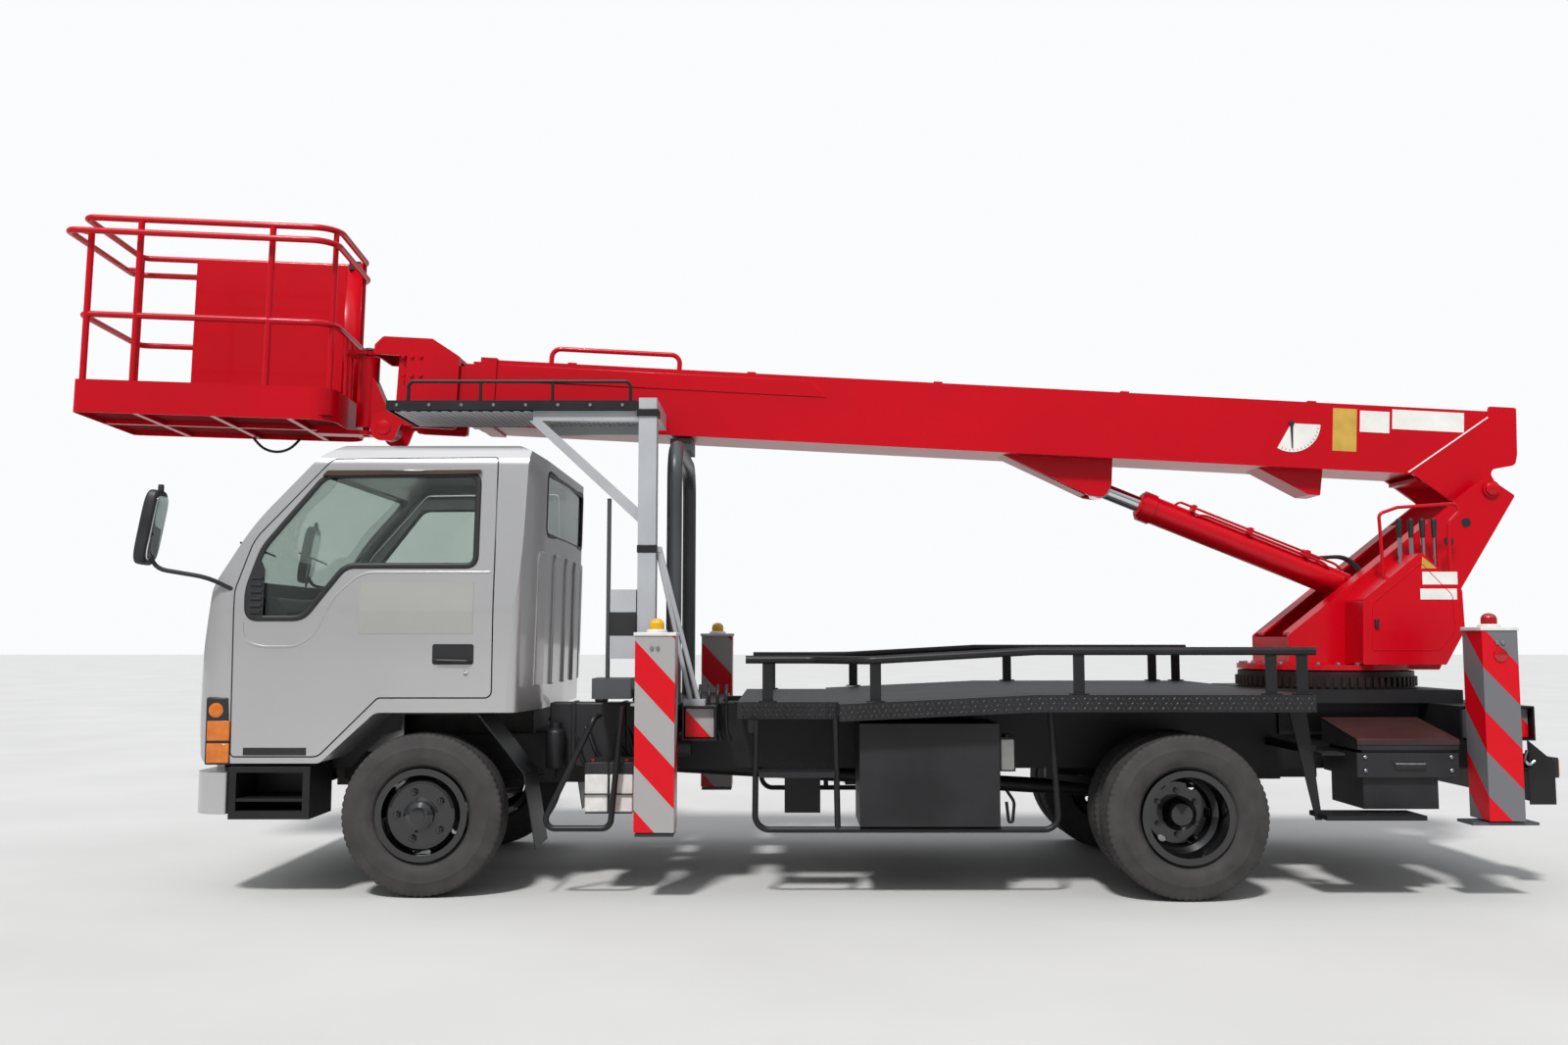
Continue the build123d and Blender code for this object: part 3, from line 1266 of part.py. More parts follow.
def basket_rails():
    """Tube rails round the basket, a sheet on its right side and the upper swing lug."""
    half = RAIL_HALF_WIDTH
    radius = BASKET_TUBE_RADIUS
    foot = TRAY_TOP + 1
    # Front reach, half width and height of each frame of tube
    frames = [(1575, half, MID_RAIL), (1650, half + 58, LOW_TOP_RAIL), (1583, half, HIGH_TOP_RAIL)]
    made = Part()
    for front, reach, height in frames:
        made += rail_ring(front, reach, height)
    # Distance forward, place to the left, and top of each post
    front_post = (1560, 68 - half)
    posts = [
        (1543, half, LOW_TOP_RAIL),
        (1287, half, HIGH_TOP_RAIL),
        (595, half, HIGH_TOP_RAIL),
        (*front_post, HIGH_TOP_RAIL),
        (PANEL_FRONT - 20, -half, HIGH_TOP_RAIL),
        (595, -half, HIGH_TOP_RAIL),
    ]
    for u, y, top in posts:
        made += upright_rod(u, y, foot, top, radius)
    made += both_sides(upright_rod(RAIL_REAR + 22, half - 60, foot, HIGH_TOP_RAIL, radius - 2))
    made += rod((1543, half, LOW_TOP_RAIL), (1600, half + 56, LOW_TOP_RAIL), 12)
    made += rod((*front_post, LOW_TOP_RAIL), (1650, front_post[1], LOW_TOP_RAIL), 12)
    # The flat sheet on the right starts where the rear corner's bend ends
    sheet_rear = RAIL_REAR + TRAY_CORNER + 5
    sheet_y = half - radius
    made += block(
        sheet_rear, PANEL_FRONT, -sheet_y, PANEL_THICKNESS - sheet_y, foot, HIGH_TOP_RAIL
    )
    lug_z = COLUMN_HEIGHT + 8
    lug_half = 80
    made += both_sides(upright_rod(RAIL_REAR + 4, 62, foot, MID_RAIL - 6, 12))
    lug = block(SWING_OUT, RAIL_REAR + 5, -lug_half, lug_half, lug_z, lug_z + 24)
    lug += upright_rod(SWING_OUT, 0, lug_z, lug_z + 24, COLUMN_RADIUS - 2)
    lug -= upright_rod(SWING_OUT, 0, lug_z - 5, lug_z + 30, SWING_PIN_RADIUS + SPINDLE_GAP)
    return SWUNG_FRAME * (made + lug)


def make_all():
    """Every sub-part by name, in the working axes."""
    made = {
        "chassis_frame": chassis_frame(),
        "subframe": subframe(),
        "slew_ring": slew_ring(),
        "engine_gearbox": engine_gearbox(),
        "front_axle": front_axle(),
        "rear_axle": rear_axle(),
        "dashboard": dashboard(),
        "steering_wheel": steering_wheel(),
        "seats": seats(),
        "front_bumper": front_bumper(),
        "front_lamps": front_lamps(),
        "rear_lamps": rear_lamps(),
        "mirrors": mirrors(),
        "cab_steps": cab_steps(),
        "front_arches": front_arches(),
        "deck": deck(),
        "deck_rails": deck_rails(),
        "side_guards": side_guards(),
        "tool_boxes": tool_boxes(),
        "fuel_tank": fuel_tank(),
        "rear_bumper": rear_bumper(),
        "gantry": gantry(),
        "access_platform": access_platform(),
        "boom_rest": boom_rest(),
        "turntable": turntable(),
        "control_cabinet": control_cabinet(),
        "lift_barrel": lift_barrel(),
        "lift_rod": lift_rod(),
        "boom_base": boom_base(),
        "boom_second": boom_inner(1),
        "boom_third": boom_inner(2),
        "boom_tip": boom_tip(),
        "basket_bracket": basket_bracket(),
        "basket_tray": basket_tray(),
        "basket_rails": basket_rails(),
    }
    made |= make_cab()
    for name, side in (("left", 1), ("right", -1)):
        front = Pos(0, 0, TYRE_RADIUS)
        rear = Pos(-WHEELBASE, 0, TYRE_RADIUS)
        made[f"knuckle_{name}"] = knuckle(side)
        made[f"tyre_front_{name}"] = front * tyre(FRONT_TYRE_Y, side)
        made[f"rim_front_{name}"] = front * front_rim(side)
        twins = tyre(REAR_TYRE_INNER_Y, side) + tyre(REAR_TYRE_OUTER_Y, side)
        made[f"tyre_rear_{name}"] = rear * twins
        made[f"rim_rear_{name}"] = rear * rear_rim(side)
        for position in ("front", "rear"):
            made[f"outrigger_{position}_{name}"] = outrigger(position, side)
            made[f"jack_{position}_{name}"] = jack(position, side)
    return made


def main():
    """Writes each sub-part, with the origin on the ground under the middle."""
    os.makedirs("parts", exist_ok=True)
    made = make_all()
    low = min(shape.bounding_box().min.X for shape in made.values())
    high = max(shape.bounding_box().max.X for shape in made.values())
    centred = Pos(-(low + high) / 2, 0, 0)
    print("moved along x by", round(-(low + high) / 2, 3))
    for name, shape in made.items():
        export_step(centred * shape, f"parts/{name}.step")


main()
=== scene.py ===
# %% [markdown]
# # A cherry picker truck
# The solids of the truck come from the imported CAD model, in metres, with the ground at z = 0.
# They keep their shapes here. This file gives them finishes, and adds what plain solids lack:
# treads, rubbers, lamps, bolts, hoses and cushions. Each new piece rides on a body of the model,
# so that it moves when the boom, a door or a wheel moves.

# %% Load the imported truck
import bmesh
import bpy
import json
import math
import numpy as np
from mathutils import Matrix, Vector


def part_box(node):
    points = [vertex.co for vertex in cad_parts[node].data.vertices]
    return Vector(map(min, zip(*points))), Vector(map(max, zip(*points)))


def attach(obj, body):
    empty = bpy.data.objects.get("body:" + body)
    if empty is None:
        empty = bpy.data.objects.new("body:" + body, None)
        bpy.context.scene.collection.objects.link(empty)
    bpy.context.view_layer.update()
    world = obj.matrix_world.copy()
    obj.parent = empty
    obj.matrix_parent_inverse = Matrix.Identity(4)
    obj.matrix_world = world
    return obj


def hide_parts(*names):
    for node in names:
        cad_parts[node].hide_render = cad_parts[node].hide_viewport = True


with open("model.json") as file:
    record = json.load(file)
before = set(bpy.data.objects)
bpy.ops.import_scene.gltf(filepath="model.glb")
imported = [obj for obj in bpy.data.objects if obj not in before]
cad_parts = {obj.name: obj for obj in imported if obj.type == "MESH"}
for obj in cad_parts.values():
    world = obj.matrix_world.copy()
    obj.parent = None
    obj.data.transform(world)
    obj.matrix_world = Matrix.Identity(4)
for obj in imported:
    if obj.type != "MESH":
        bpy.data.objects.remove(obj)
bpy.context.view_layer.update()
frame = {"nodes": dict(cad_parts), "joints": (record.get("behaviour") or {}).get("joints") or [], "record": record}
nodes = frame["nodes"]
print("nodes", len(nodes))

# %% [markdown]
# ## Places
# The model's origin is under the middle of the truck, but a vehicle is measured from its front
# axle. All the sizes below count x from that axle, forward, y to the left and z up, and one
# function adds the axle's own place. The boom and the basket lean a little, so each has its own
# axes: u along it, y to the left and w square to it.

# %% Axes of the truck, the boom and the basket
low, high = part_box("tyre_front_left")
AXLE_X = (low.x + high.x) / 2
WHEEL_RADIUS = (high.z - low.z) / 2
joint_at = {j["name"]: np.array(j["pos_m"]) - [AXLE_X, 0, 0] for j in frame["joints"] if "pos_m" in j}
BOOM_LEAN = math.radians(3.0)
BASKET_LEAN = math.radians(1.1)
BASKET_YAW = math.radians(5.0)
COLUMN_U = 0.14
BOOM_HALF = 0.18
SLEW_X = joint_at["slew"][0]
CAB_WALL_Y = 0.97
WAIST_Z = 1.4
WALL_LEAN = 0.0867
SIDES = (("left", 1), ("right", -1))


def leaned(points, origin, angle):
    """Turns (u, y, w) by the angle in the upright plane and moves it to the origin."""
    u, y, w = np.moveaxis(np.asarray(points, float), -1, 0)
    x = origin[0] + u * math.cos(angle) - w * math.sin(angle)
    z = origin[2] + u * math.sin(angle) + w * math.cos(angle)
    return np.stack([x, y, z], -1)


def on_boom(points):
    """From the boom's axes to the truck's."""
    return leaned(points, joint_at["boom_lift"], BOOM_LEAN)


def in_basket(points):
    """From the basket's axes to the truck's: a turn about the column, then the lean."""
    u, y, w = np.moveaxis(np.asarray(points, float), -1, 0)
    u = u - COLUMN_U
    turned_u = COLUMN_U + u * math.cos(BASKET_YAW) - y * math.sin(BASKET_YAW)
    turned_y = u * math.sin(BASKET_YAW) + y * math.cos(BASKET_YAW)
    return leaned(np.stack([turned_u, turned_y, w], -1), joint_at["basket_level"], BASKET_LEAN)


def on_cab_side(points):
    """(x, out, z) to the cab's left wall, which leans inwards above the waist."""
    x, out, z = np.moveaxis(np.asarray(points, float), -1, 0)
    return np.stack([x, CAB_WALL_Y - np.maximum(0.0, z - WAIST_Z) * WALL_LEAN + out, z], -1)


def plain(points):
    """The truck's own axes."""
    return np.asarray(points, float)


# %% [markdown]
# ## Camera
# The photograph was taken from the left side, low, with a fairly wide lens. The lens and the
# height were worked out from the wheels, the deck and the boom.

# %% Camera
LENS_MM = 30.6
CAMERA_AT = (-1.777, 7.544, 1.268)
CAMERA_PITCH = 4.917
camera_data = bpy.data.cameras.new("camera")
camera = bpy.data.objects.new("camera", camera_data)
bpy.context.scene.collection.objects.link(camera)
camera_data.sensor_width = 36.0
camera_data.lens = LENS_MM
camera.location = (CAMERA_AT[0] + AXLE_X, CAMERA_AT[1], CAMERA_AT[2])
camera.rotation_euler = (math.radians(90 + CAMERA_PITCH), 0.0, math.pi)
bpy.context.scene.camera = camera

# %% [markdown]
# ## Finishes
# Every material is a Principled shader fed by a few noise nodes on Object coordinates, in metres.
# Real paint is never one flat colour: dust, polish and the metal under it shift it a little.
# So each finish has two near colours in soft patches, a roughness that follows the patches, and
# a fine grain as bump.


# %% Material helpers
def linear(code):
    """An sRGB hex colour as linear red, green, blue and alpha."""
    parts = [int(code[i:i + 2], 16) / 255 for i in (0, 2, 4)]
    return [c / 12.92 if c <= 0.04045 else ((c + 0.055) / 1.055) ** 2.4 for c in parts] + [1.0]


def add(tree, kind, settings=None, links=None):
    """Adds a node, sets its values and joins its sockets, by name or number, to what feeds them."""
    node = tree.nodes.new(kind)
    for key, value in (settings or {}).items():
        if isinstance(key, int) or key in node.inputs:
            node.inputs[key].default_value = value
        else:
            setattr(node, key, value)
    for key, source in (links or {}).items():
        tree.links.new(source, node.inputs[key])
    return node


def opened(material):
    """A material's node tree, its shader and its Object coordinates."""
    tree = material.node_tree
    return tree, tree.nodes["Principled BSDF"], add(tree, "ShaderNodeTexCoord").outputs["Object"]


def set_stops(ramp, stops, interpolation="LINEAR"):
    """Gives a colour ramp its (position, hex colour) stops."""
    ramp.color_ramp.interpolation = interpolation
    while len(ramp.color_ramp.elements) < len(stops):
        ramp.color_ramp.elements.new(0.5)
    for element, (position, code) in zip(ramp.color_ramp.elements, stops):
        element.position = position
        element.color = linear(code)


def finish(name, colours, rough, patch=0.5, grain=None, **sockets):
    """A surface of two near colours. patch and grain are sizes in metres, grain with its depth."""
    material = bpy.data.materials.new(name)
    material.use_nodes = True
    tree, shader, place = opened(material)
    clouds = add(tree, "ShaderNodeTexNoise", {"Scale": 1 / patch, "Detail": 5.0}, {"Vector": place})
    amount = clouds.outputs["Fac"]
    ramp = add(tree, "ShaderNodeValToRGB", None, {"Fac": amount})
    set_stops(ramp, [(0.32, colours[0]), (0.68, colours[1])])
    tree.links.new(ramp.outputs["Color"], shader.inputs["Base Color"])
    spread = add(tree, "ShaderNodeMapRange", {"To Min": rough[0], "To Max": rough[1]}, {"Value": amount})
    tree.links.new(spread.outputs["Result"], shader.inputs["Roughness"])
    if grain:
        size, depth = grain
        speck = add(tree, "ShaderNodeTexNoise", {"Scale": 1 / size, "Detail": 3.0}, {"Vector": place})
        bump = add(tree, "ShaderNodeBump", {"Distance": depth}, {"Height": speck.outputs["Fac"]})
        tree.links.new(bump.outputs["Normal"], shader.inputs["Normal"])
    for key, value in sockets.items():
        shader.inputs[key.replace("_", " ")].default_value = value
    return material


# %% [markdown]
# The paints: gloss enamel on the red steelwork with slight orange peel, about 12 mm across and a
# few hundredths of a millimetre deep; metallic lacquer under a clear coat on the cab; satin
# chassis enamel, dustier low down; and rougher cast and rolled steel.

# %% Paints and bare metals
red_enamel = finish(
    "red_gloss_enamel_on_steel", ("c00016", "b20013"), (0.24, 0.34), 0.9, (0.012, 0.00005),
    Specular_IOR_Level=0.22, Coat_Weight=0.14, Coat_Roughness=0.05,
)
# A darker red for the underside of the basket's tray: painted shade, with the shine turned down so that it stays
# dark.
painted_shade_red = finish(
    "dark_red_painted_shade", ("7a0b13", "65080f"), (0.8, 0.95), 0.3, (0.004, 0.0001),
    Specular_IOR_Level=0.05,
)
silver_lacquer = finish(
    "silver_metallic_lacquer_on_pressed_steel", ("bdbcbc", "b1b0b0"), (0.26, 0.33), 1.2,
    (0.0015, 0.00002), Metallic=0.6, Coat_Weight=0.6, Coat_Roughness=0.05,
)
black_enamel = finish(
    "black_chassis_enamel_on_rolled_steel", ("121213", "1e1e20"), (0.34, 0.5), 0.35, (0.003, 0.0001),
    Specular_IOR_Level=0.35,
)
gloss_black = finish(
    "gloss_black_enamel_on_wheel_disc", ("0b0b0c", "141416"), (0.16, 0.26), 0.2, (0.01, 0.00004),
    Coat_Weight=0.7,
)
satin_box = finish(
    "satin_black_powder_coat", ("1b1a1c", "282729"), (0.4, 0.52), 0.3, (0.0015, 0.0001),
    Specular_IOR_Level=0.35,
)
grey_enamel = finish(
    "light_grey_enamel_on_steel_tube", ("acaeb1", "9fa1a4"), (0.3, 0.42), 0.3, (0.008, 0.00005),
)
dark_grey = finish(
    "dark_grey_enamel_on_steel_tube", ("4a4d50", "3b3e41"), (0.32, 0.45), 0.3, (0.006, 0.00006),
)
cast_iron = finish(
    "sand_cast_iron", ("3a3937", "4a4744"), (0.55, 0.75), 0.12, (0.003, 0.0004), Metallic=0.5,
)
ring_steel = finish(
    "greased_gear_ring_steel", ("1c1211", "2b1917"), (0.35, 0.6), 0.05, (0.003, 0.0002), Metallic=0.4,
)
chrome = finish("hard_chrome_plate", ("d9dadb", "c9cacc"), (0.05, 0.1), 0.2, Metallic=1.0)
zinc = finish("zinc_plated_fastener", ("a9acae", "8f9294"), (0.28, 0.42), 0.02, Metallic=1.0)
mirror_glass = finish("silvered_mirror_glass", ("e2e6e8", "d6dade"), (0.02, 0.04), 0.3, Metallic=1.0)

# %% [markdown]
# The rest: vulcanised rubber with a bloom of dust, moulded plastics with their fine grain, lamp
# lenses of coloured acrylic, printed vinyl left blank, and woven seat cloth.

# %% Rubber, plastics, lenses, vinyl and cloth
tyre_rubber = finish("vulcanised_tyre_rubber", ("2b2928", "3b3837"), (0.65, 0.85), 0.09, (0.0016, 0.0002))
seal_rubber = finish("extruded_window_rubber", ("101011", "18181a"), (0.45, 0.6), 0.05, (0.001, 0.00005))
hose_rubber = finish("smooth_hose_rubber", ("0f0f10", "1b1b1c"), (0.35, 0.5), 0.05, (0.001, 0.00005))
black_plastic = finish("grained_black_abs", ("151517", "202022"), (0.42, 0.55), 0.1, (0.0008, 0.0001))
grey_plastic = finish("grained_grey_abs", ("3b3c40", "4a4b4f"), (0.45, 0.6), 0.1, (0.0008, 0.0001))
pale_plastic = finish(
    "moulded_pale_polypropylene", ("dad9d5", "c9c8c4"), (0.35, 0.5), 0.06, (0.001, 0.00005),
)
brown_paint = finish("brown_enamel_on_lid", ("3b2320", "2e1b19"), (0.3, 0.45), 0.15, (0.004, 0.0001))
amber_lens = finish("amber_acrylic_lens", ("d0700a", "b85c04"), (0.08, 0.14), 0.05, Coat_Weight=0.5)
yellow_lens = finish("yellow_polycarbonate_lens", ("e3b21c", "d29d10"), (0.12, 0.2), 0.05, Coat_Weight=0.4)
red_lens = finish("red_acrylic_lens", ("b3080c", "8f0508"), (0.08, 0.14), 0.05, Coat_Weight=0.5)
clear_lens = finish("clear_acrylic_headlamp_lens", ("d8dde0", "aeb6bb"), (0.05, 0.1), 0.04, Coat_Weight=0.8)
white_vinyl = finish("white_vinyl_label", ("e6e4de", "d8d6d0"), (0.3, 0.42), 0.1)
gold_vinyl = finish("gold_vinyl_label", ("c9a24a", "b58f3c"), (0.3, 0.4), 0.1)
grey_vinyl = finish("grey_vinyl_panel", ("999995", "94948f"), (0.4, 0.5), 0.2)
bronze_acrylic = finish("bronze_acrylic_visor", ("3a2a1c", "4a3524"), (0.08, 0.15), 0.2, Coat_Weight=0.5)


def window_glass():
    """Toughened glass: clear, faintly green, with a trace of unevenness in its polish."""
    material = finish("toughened_window_glass", ("ccd6d1", "c5cfca"), (0.0, 0.004), 0.6)
    shader = material.node_tree.nodes["Principled BSDF"]
    shader.inputs["Transmission Weight"].default_value = 1.0
    shader.inputs["IOR"].default_value = 1.45
    return material


# A wave texture of this scale, divided by the spacing in metres, has bands at that spacing
WAVE_SCALE = 0.314


def woven(name, dark, light, thread):
    """Cloth: two crossed sine waves, one thread apart, raise the weave and tint it."""
    material = finish(name, (dark, light), (0.8, 0.95), 0.04, None, Sheen_Weight=0.3)
    tree, shader, place = opened(material)
    waves = []
    for axis in ("X", "Y"):
        settings = {"Scale": WAVE_SCALE / thread, "bands_direction": axis}
        waves.append(add(tree, "ShaderNodeTexWave", settings, {"Vector": place}).outputs["Fac"])
    weave = add(tree, "ShaderNodeMath", {"operation": "MULTIPLY"}, {0: waves[0], 1: waves[1]})
    bump = add(tree, "ShaderNodeBump", {"Distance": 0.0006}, {"Height": weave.outputs[0]})
    tree.links.new(bump.outputs["Normal"], shader.inputs["Normal"])
    return material


glass = window_glass()
# The real thread is about 1 mm; it is drawn at 3 mm so that it shows
seat_cloth = woven("woven_seat_cloth", "3a3b40", "4b4c52", 0.003)

# %% [markdown]
# The outrigger legs carry slanted warning stripes that wrap round the corner, as tape or a masked
# second coat does. One plane function does it: height, less the distance forward, plus the
# distance out to the side, divided by the stripes' pitch. Its fraction picks red or grey, and the
# grey is darker on the rear legs.

# %% Stripes on the outriggers
STRIPE_PITCH = 0.404
STRIPE_SLOPE = 1.07
STRIPE_START = 2.942
STRIPE_RED = 0.48
STRIPE_CHANGE_X = -3.0


def striped_enamel():
    """Colour by the fraction of (z - slope x + slope |y| - start) / pitch."""
    material = finish(
        "striped_enamel_on_outrigger", ("c01218", "a80e14"), (0.28, 0.4), 0.3, (0.008, 0.00006),
    )
    tree, shader, place = opened(material)
    split = add(tree, "ShaderNodeSeparateXYZ", None, {"Vector": place})
    x, y, z = (split.outputs[axis] for axis in "XYZ")
    out = add(tree, "ShaderNodeMath", {"operation": "ABSOLUTE"}, {0: y})
    across = add(tree, "ShaderNodeMath", {"operation": "SUBTRACT"}, {0: out.outputs[0], 1: x})
    slope = {"operation": "MULTIPLY_ADD", 1: STRIPE_SLOPE}
    slanted = add(tree, "ShaderNodeMath", slope, {0: across.outputs[0], 2: z})
    # Ten pitches more keep the fraction's argument above zero
    start = {"operation": "ADD", 1: STRIPE_SLOPE * AXLE_X - STRIPE_START + 10 * STRIPE_PITCH}
    shifted = add(tree, "ShaderNodeMath", start, {0: slanted.outputs[0]})
    pitch = {"operation": "DIVIDE", 1: STRIPE_PITCH}
    counted = add(tree, "ShaderNodeMath", pitch, {0: shifted.outputs[0]})
    part = add(tree, "ShaderNodeMath", {"operation": "FRACT"}, {0: counted.outputs[0]})
    ramp = add(tree, "ShaderNodeValToRGB", None, {"Fac": part.outputs[0]})
    set_stops(ramp, [(0.0, "ffffff"), (STRIPE_RED, "000000")], "CONSTANT")
    change = {"operation": "GREATER_THAN", 1: AXLE_X + STRIPE_CHANGE_X}
    ahead = add(tree, "ShaderNodeMath", change, {0: x})
    greys = {"Color1": linear("6c6c6f"), "Color2": linear("9c9997")}
    pale = add(tree, "ShaderNodeMixRGB", greys, {"Fac": ahead.outputs[0]})
    mixed = {"Fac": ramp.outputs["Color"], "Color1": pale.outputs["Color"]}
    both = add(tree, "ShaderNodeMixRGB", {"Color2": linear("c80014")}, mixed)
    tree.links.new(both.outputs["Color"], shader.inputs["Base Color"])
    shader.inputs["Specular IOR Level"].default_value = 0.3
    return material


# %% [markdown]
# Chequer plate has raised lozenges in a herringbone. On the deck's edges they are real geometry
# further down. On the deck's top, which is seen from far off, two crossed waves raise them.

# %% Chequer plate
PLATE_WAVE_SCALE = 10.5


def crossed_waves(tree, place, turn, direction):
    """Two wave textures 30 mm apart, turned one way and the other."""
    waves = []
    for angle in (turn, -turn):
        turned_place = add(tree, "ShaderNodeMapping", {"Rotation": (0.0, 0.0, angle)}, {"Vector": place})
        settings = {"Scale": PLATE_WAVE_SCALE, "bands_direction": direction}
        wave = add(tree, "ShaderNodeTexWave", settings, {"Vector": turned_place.outputs[0]})
        waves.append(wave.outputs["Fac"])
    return waves


def chequer_enamel():
    """Black enamel whose bump is the product of two waves at right angles."""
    colours = ("161617", "222224")
    material = finish("chequer_plate_black_enamel", colours, (0.38, 0.55), 0.3, Specular_IOR_Level=0.35)
    tree, shader, place = opened(material)
    waves = crossed_waves(tree, place, 0.785, "X")
    lozenge = add(tree, "ShaderNodeMath", {"operation": "MULTIPLY"}, {0: waves[0], 1: waves[1]})
    bump = add(tree, "ShaderNodeBump", {"Distance": 0.002}, {"Height": lozenge.outputs[0]})
    tree.links.new(bump.outputs["Normal"], shader.inputs["Normal"])
    return material


def expanded_metal():
    """Pale strands and dark gaps: the larger of two crossed waves, cut to two colours."""
    material = finish("expanded_steel_mesh", ("8c8e90", "7c7e80"), (0.4, 0.55), 0.2)
    tree, shader, place = opened(material)
    waves = crossed_waves(tree, place, 0.6, "Y")
    strand = add(tree, "ShaderNodeMath", {"operation": "MAXIMUM"}, {0: waves[0], 1: waves[1]})
    ramp = add(tree, "ShaderNodeValToRGB", None, {"Fac": strand.outputs[0]})
    set_stops(ramp, [(0.62, "19191a"), (0.74, "d2d4d6")])
    tree.links.new(ramp.outputs["Color"], shader.inputs["Base Color"])
    return material


expanded_mesh = expanded_metal()
striped = striped_enamel()
chequer = chequer_enamel()
SLOT_FINISH = {
    "frame_black": black_enamel, "ring_black": ring_steel, "engine_grey": cast_iron,
    "cab_silver": silver_lacquer, "window_glass": glass, "cab_plastic": grey_plastic,
    "seat_fabric": seat_cloth, "bumper_silver": silver_lacquer, "lamp_clear": clear_lens,
    "lamp_red": black_plastic, "mirror_black": black_plastic, "deck_black": chequer,
    "box_black": satin_box, "gantry_grey": grey_enamel, "rest_grey": dark_grey,
    "boom_red": red_enamel, "chrome_rod": chrome, "tyre_rubber": tyre_rubber,
    "rim_paint": gloss_black, "outrigger_red": striped, "jack_steel": dark_grey,
}
for row in frame["record"]["subparts"]:
    materials = nodes[row["node"]].data.materials
    materials.clear()
    materials.append(SLOT_FINISH[row["material_slot"]])
# The slot that goes with each material of the new pieces
HOME_SLOTS = {
    "boom_red": [red_enamel, painted_shade_red], "cab_silver": [silver_lacquer],
    "mirror_black": [black_plastic, seal_rubber, bronze_acrylic],
    "frame_black": [black_enamel, hose_rubber],
    "gantry_grey": [white_vinyl, gold_vinyl, grey_vinyl, pale_plastic, expanded_mesh],
    "chrome_rod": [chrome, zinc, mirror_glass], "rim_paint": [gloss_black], "tyre_rubber": [tyre_rubber],
    "lamp_clear": [clear_lens, amber_lens, yellow_lens], "lamp_red": [red_lens],
    "seat_fabric": [seat_cloth], "box_black": [satin_box, brown_paint], "deck_black": [chequer],
}
HOME_SLOT = {material.name: slot for slot, group in HOME_SLOTS.items() for material in group}
print("materials", len(bpy.data.materials))

# %% [markdown]
# ## Mesh helpers
# Most pieces are one of three surfaces: a round bar along a path, a profile turned about an axis,
# or a flat outline pushed through a thickness. Each is worked out as whole arrays and returned as
# points and faces, so that several can be joined into one piece.


# %% Surfaces
def grid_faces(rows, columns, round_rows=False, round_columns=False):
    """Quads between neighbours on a grid, which may close on itself either way."""
    index = np.arange(rows * columns).reshape(rows, columns)
    if round_rows:
        index = np.concatenate([index, index[:1]], 0)
    if round_columns:
        index = np.concatenate([index, index[:, :1]], 1)
    corners = [index[:-1, :-1], index[1:, :-1], index[1:, 1:], index[:-1, 1:]]
    return np.stack(corners, -1).reshape(-1, 4).tolist()


def rounded(points, bend, steps=6):
    """A path whose corners become curves: (1-t)^2 A + 2t(1-t) B + t^2 C from run to run."""
    points = np.asarray(points, float)
    before, corner, after = points[:-2], points[1:-1], points[2:]
    back, ahead = before - corner, after - corner
    back_length = np.linalg.norm(back, axis=1, keepdims=True)
    ahead_length = np.linalg.norm(ahead, axis=1, keepdims=True)
    cut = np.minimum(bend, 0.49 * np.minimum(back_length, ahead_length))
    start = corner + back / back_length * cut
    end = corner + ahead / ahead_length * cut
    t = np.linspace(0, 1, steps)[None, :, None]
    arcs = (1 - t) ** 2 * start[:, None] + 2 * t * (1 - t) * corner[:, None] + t ** 2 * end[:, None]
    return np.concatenate([points[:1], arcs.reshape(-1, 3), points[-1:]])


def bar(points, radius, bend=0.0, sides=10, flat=1.0, closed=False):
    """A round bar: at each point of the path, radius times (cos a, sin a) across it."""
    path = np.asarray(points, float)
    if bend:
        path = rounded(path, bend)
    if closed:
        along = np.roll(path, -1, 0) - np.roll(path, 1, 0)
    else:
        along = np.gradient(path, axis=0)
    along /= np.linalg.norm(along, axis=1, keepdims=True)
    upward = np.linalg.svd(path - path.mean(0))[2][2]
    if abs(along @ upward).max() > 0.99:
        upward = np.array([0.3, 0.2, 0.93])
    across = np.cross(along, upward)
    across /= np.linalg.norm(across, axis=1, keepdims=True)
    normal = np.cross(across, along)
    angle = np.linspace(0, 2 * np.pi, sides, endpoint=False)[None, :, None]
    ring = np.cos(angle) * across[:, None] + flat * np.sin(angle) * normal[:, None]
    vertices = (path[:, None] + radius * ring).reshape(-1, 3)
    faces = grid_faces(len(path), sides, closed, True)
    if not closed:
        faces += [list(range(sides)), list(range(len(vertices) - sides, len(vertices)))[::-1]]
    return vertices, faces


def turned(profile, centre, axis="z", sides=24):
    """(radius, distance) pairs carried round an axis through the centre."""
    radius, distance = np.asarray(profile, float).T[:, :, None]
    angle = np.linspace(0, 2 * np.pi, sides, endpoint=False)[None]
    a, b, c = radius * np.cos(angle), radius * np.sin(angle), distance + 0 * angle
    order = {"x": (c, a, b), "y": (b, c, a), "z": (a, b, c)}[axis]
    vertices = np.stack(order, -1).reshape(-1, 3) + np.asarray(centre, float)
    return vertices, grid_faces(len(profile), sides, False, True)


def slab(outline, start, end, axis="y"):
    """A flat outline pushed from start to end along an axis."""
    first, second = np.asarray(outline, float).T
    count = len(first)
    layers = []
    for level in (start, end):
        flat = np.full(count, float(level))
        order = {"x": (flat, first, second), "y": (first, flat, second), "z": (first, second, flat)}
        layers.append(np.stack(order[axis], -1))
    ends = [list(range(count)), list(range(2 * count - 1, count - 1, -1))]
    return np.concatenate(layers), grid_faces(2, count, False, True) + ends


def plate(a0, a1, b0, b1, start, end, axis="y"):
    """A rectangle pushed from start to end along an axis."""
    return slab([(a0, b0), (a1, b0), (a1, b1), (a0, b1)], start, end, axis)


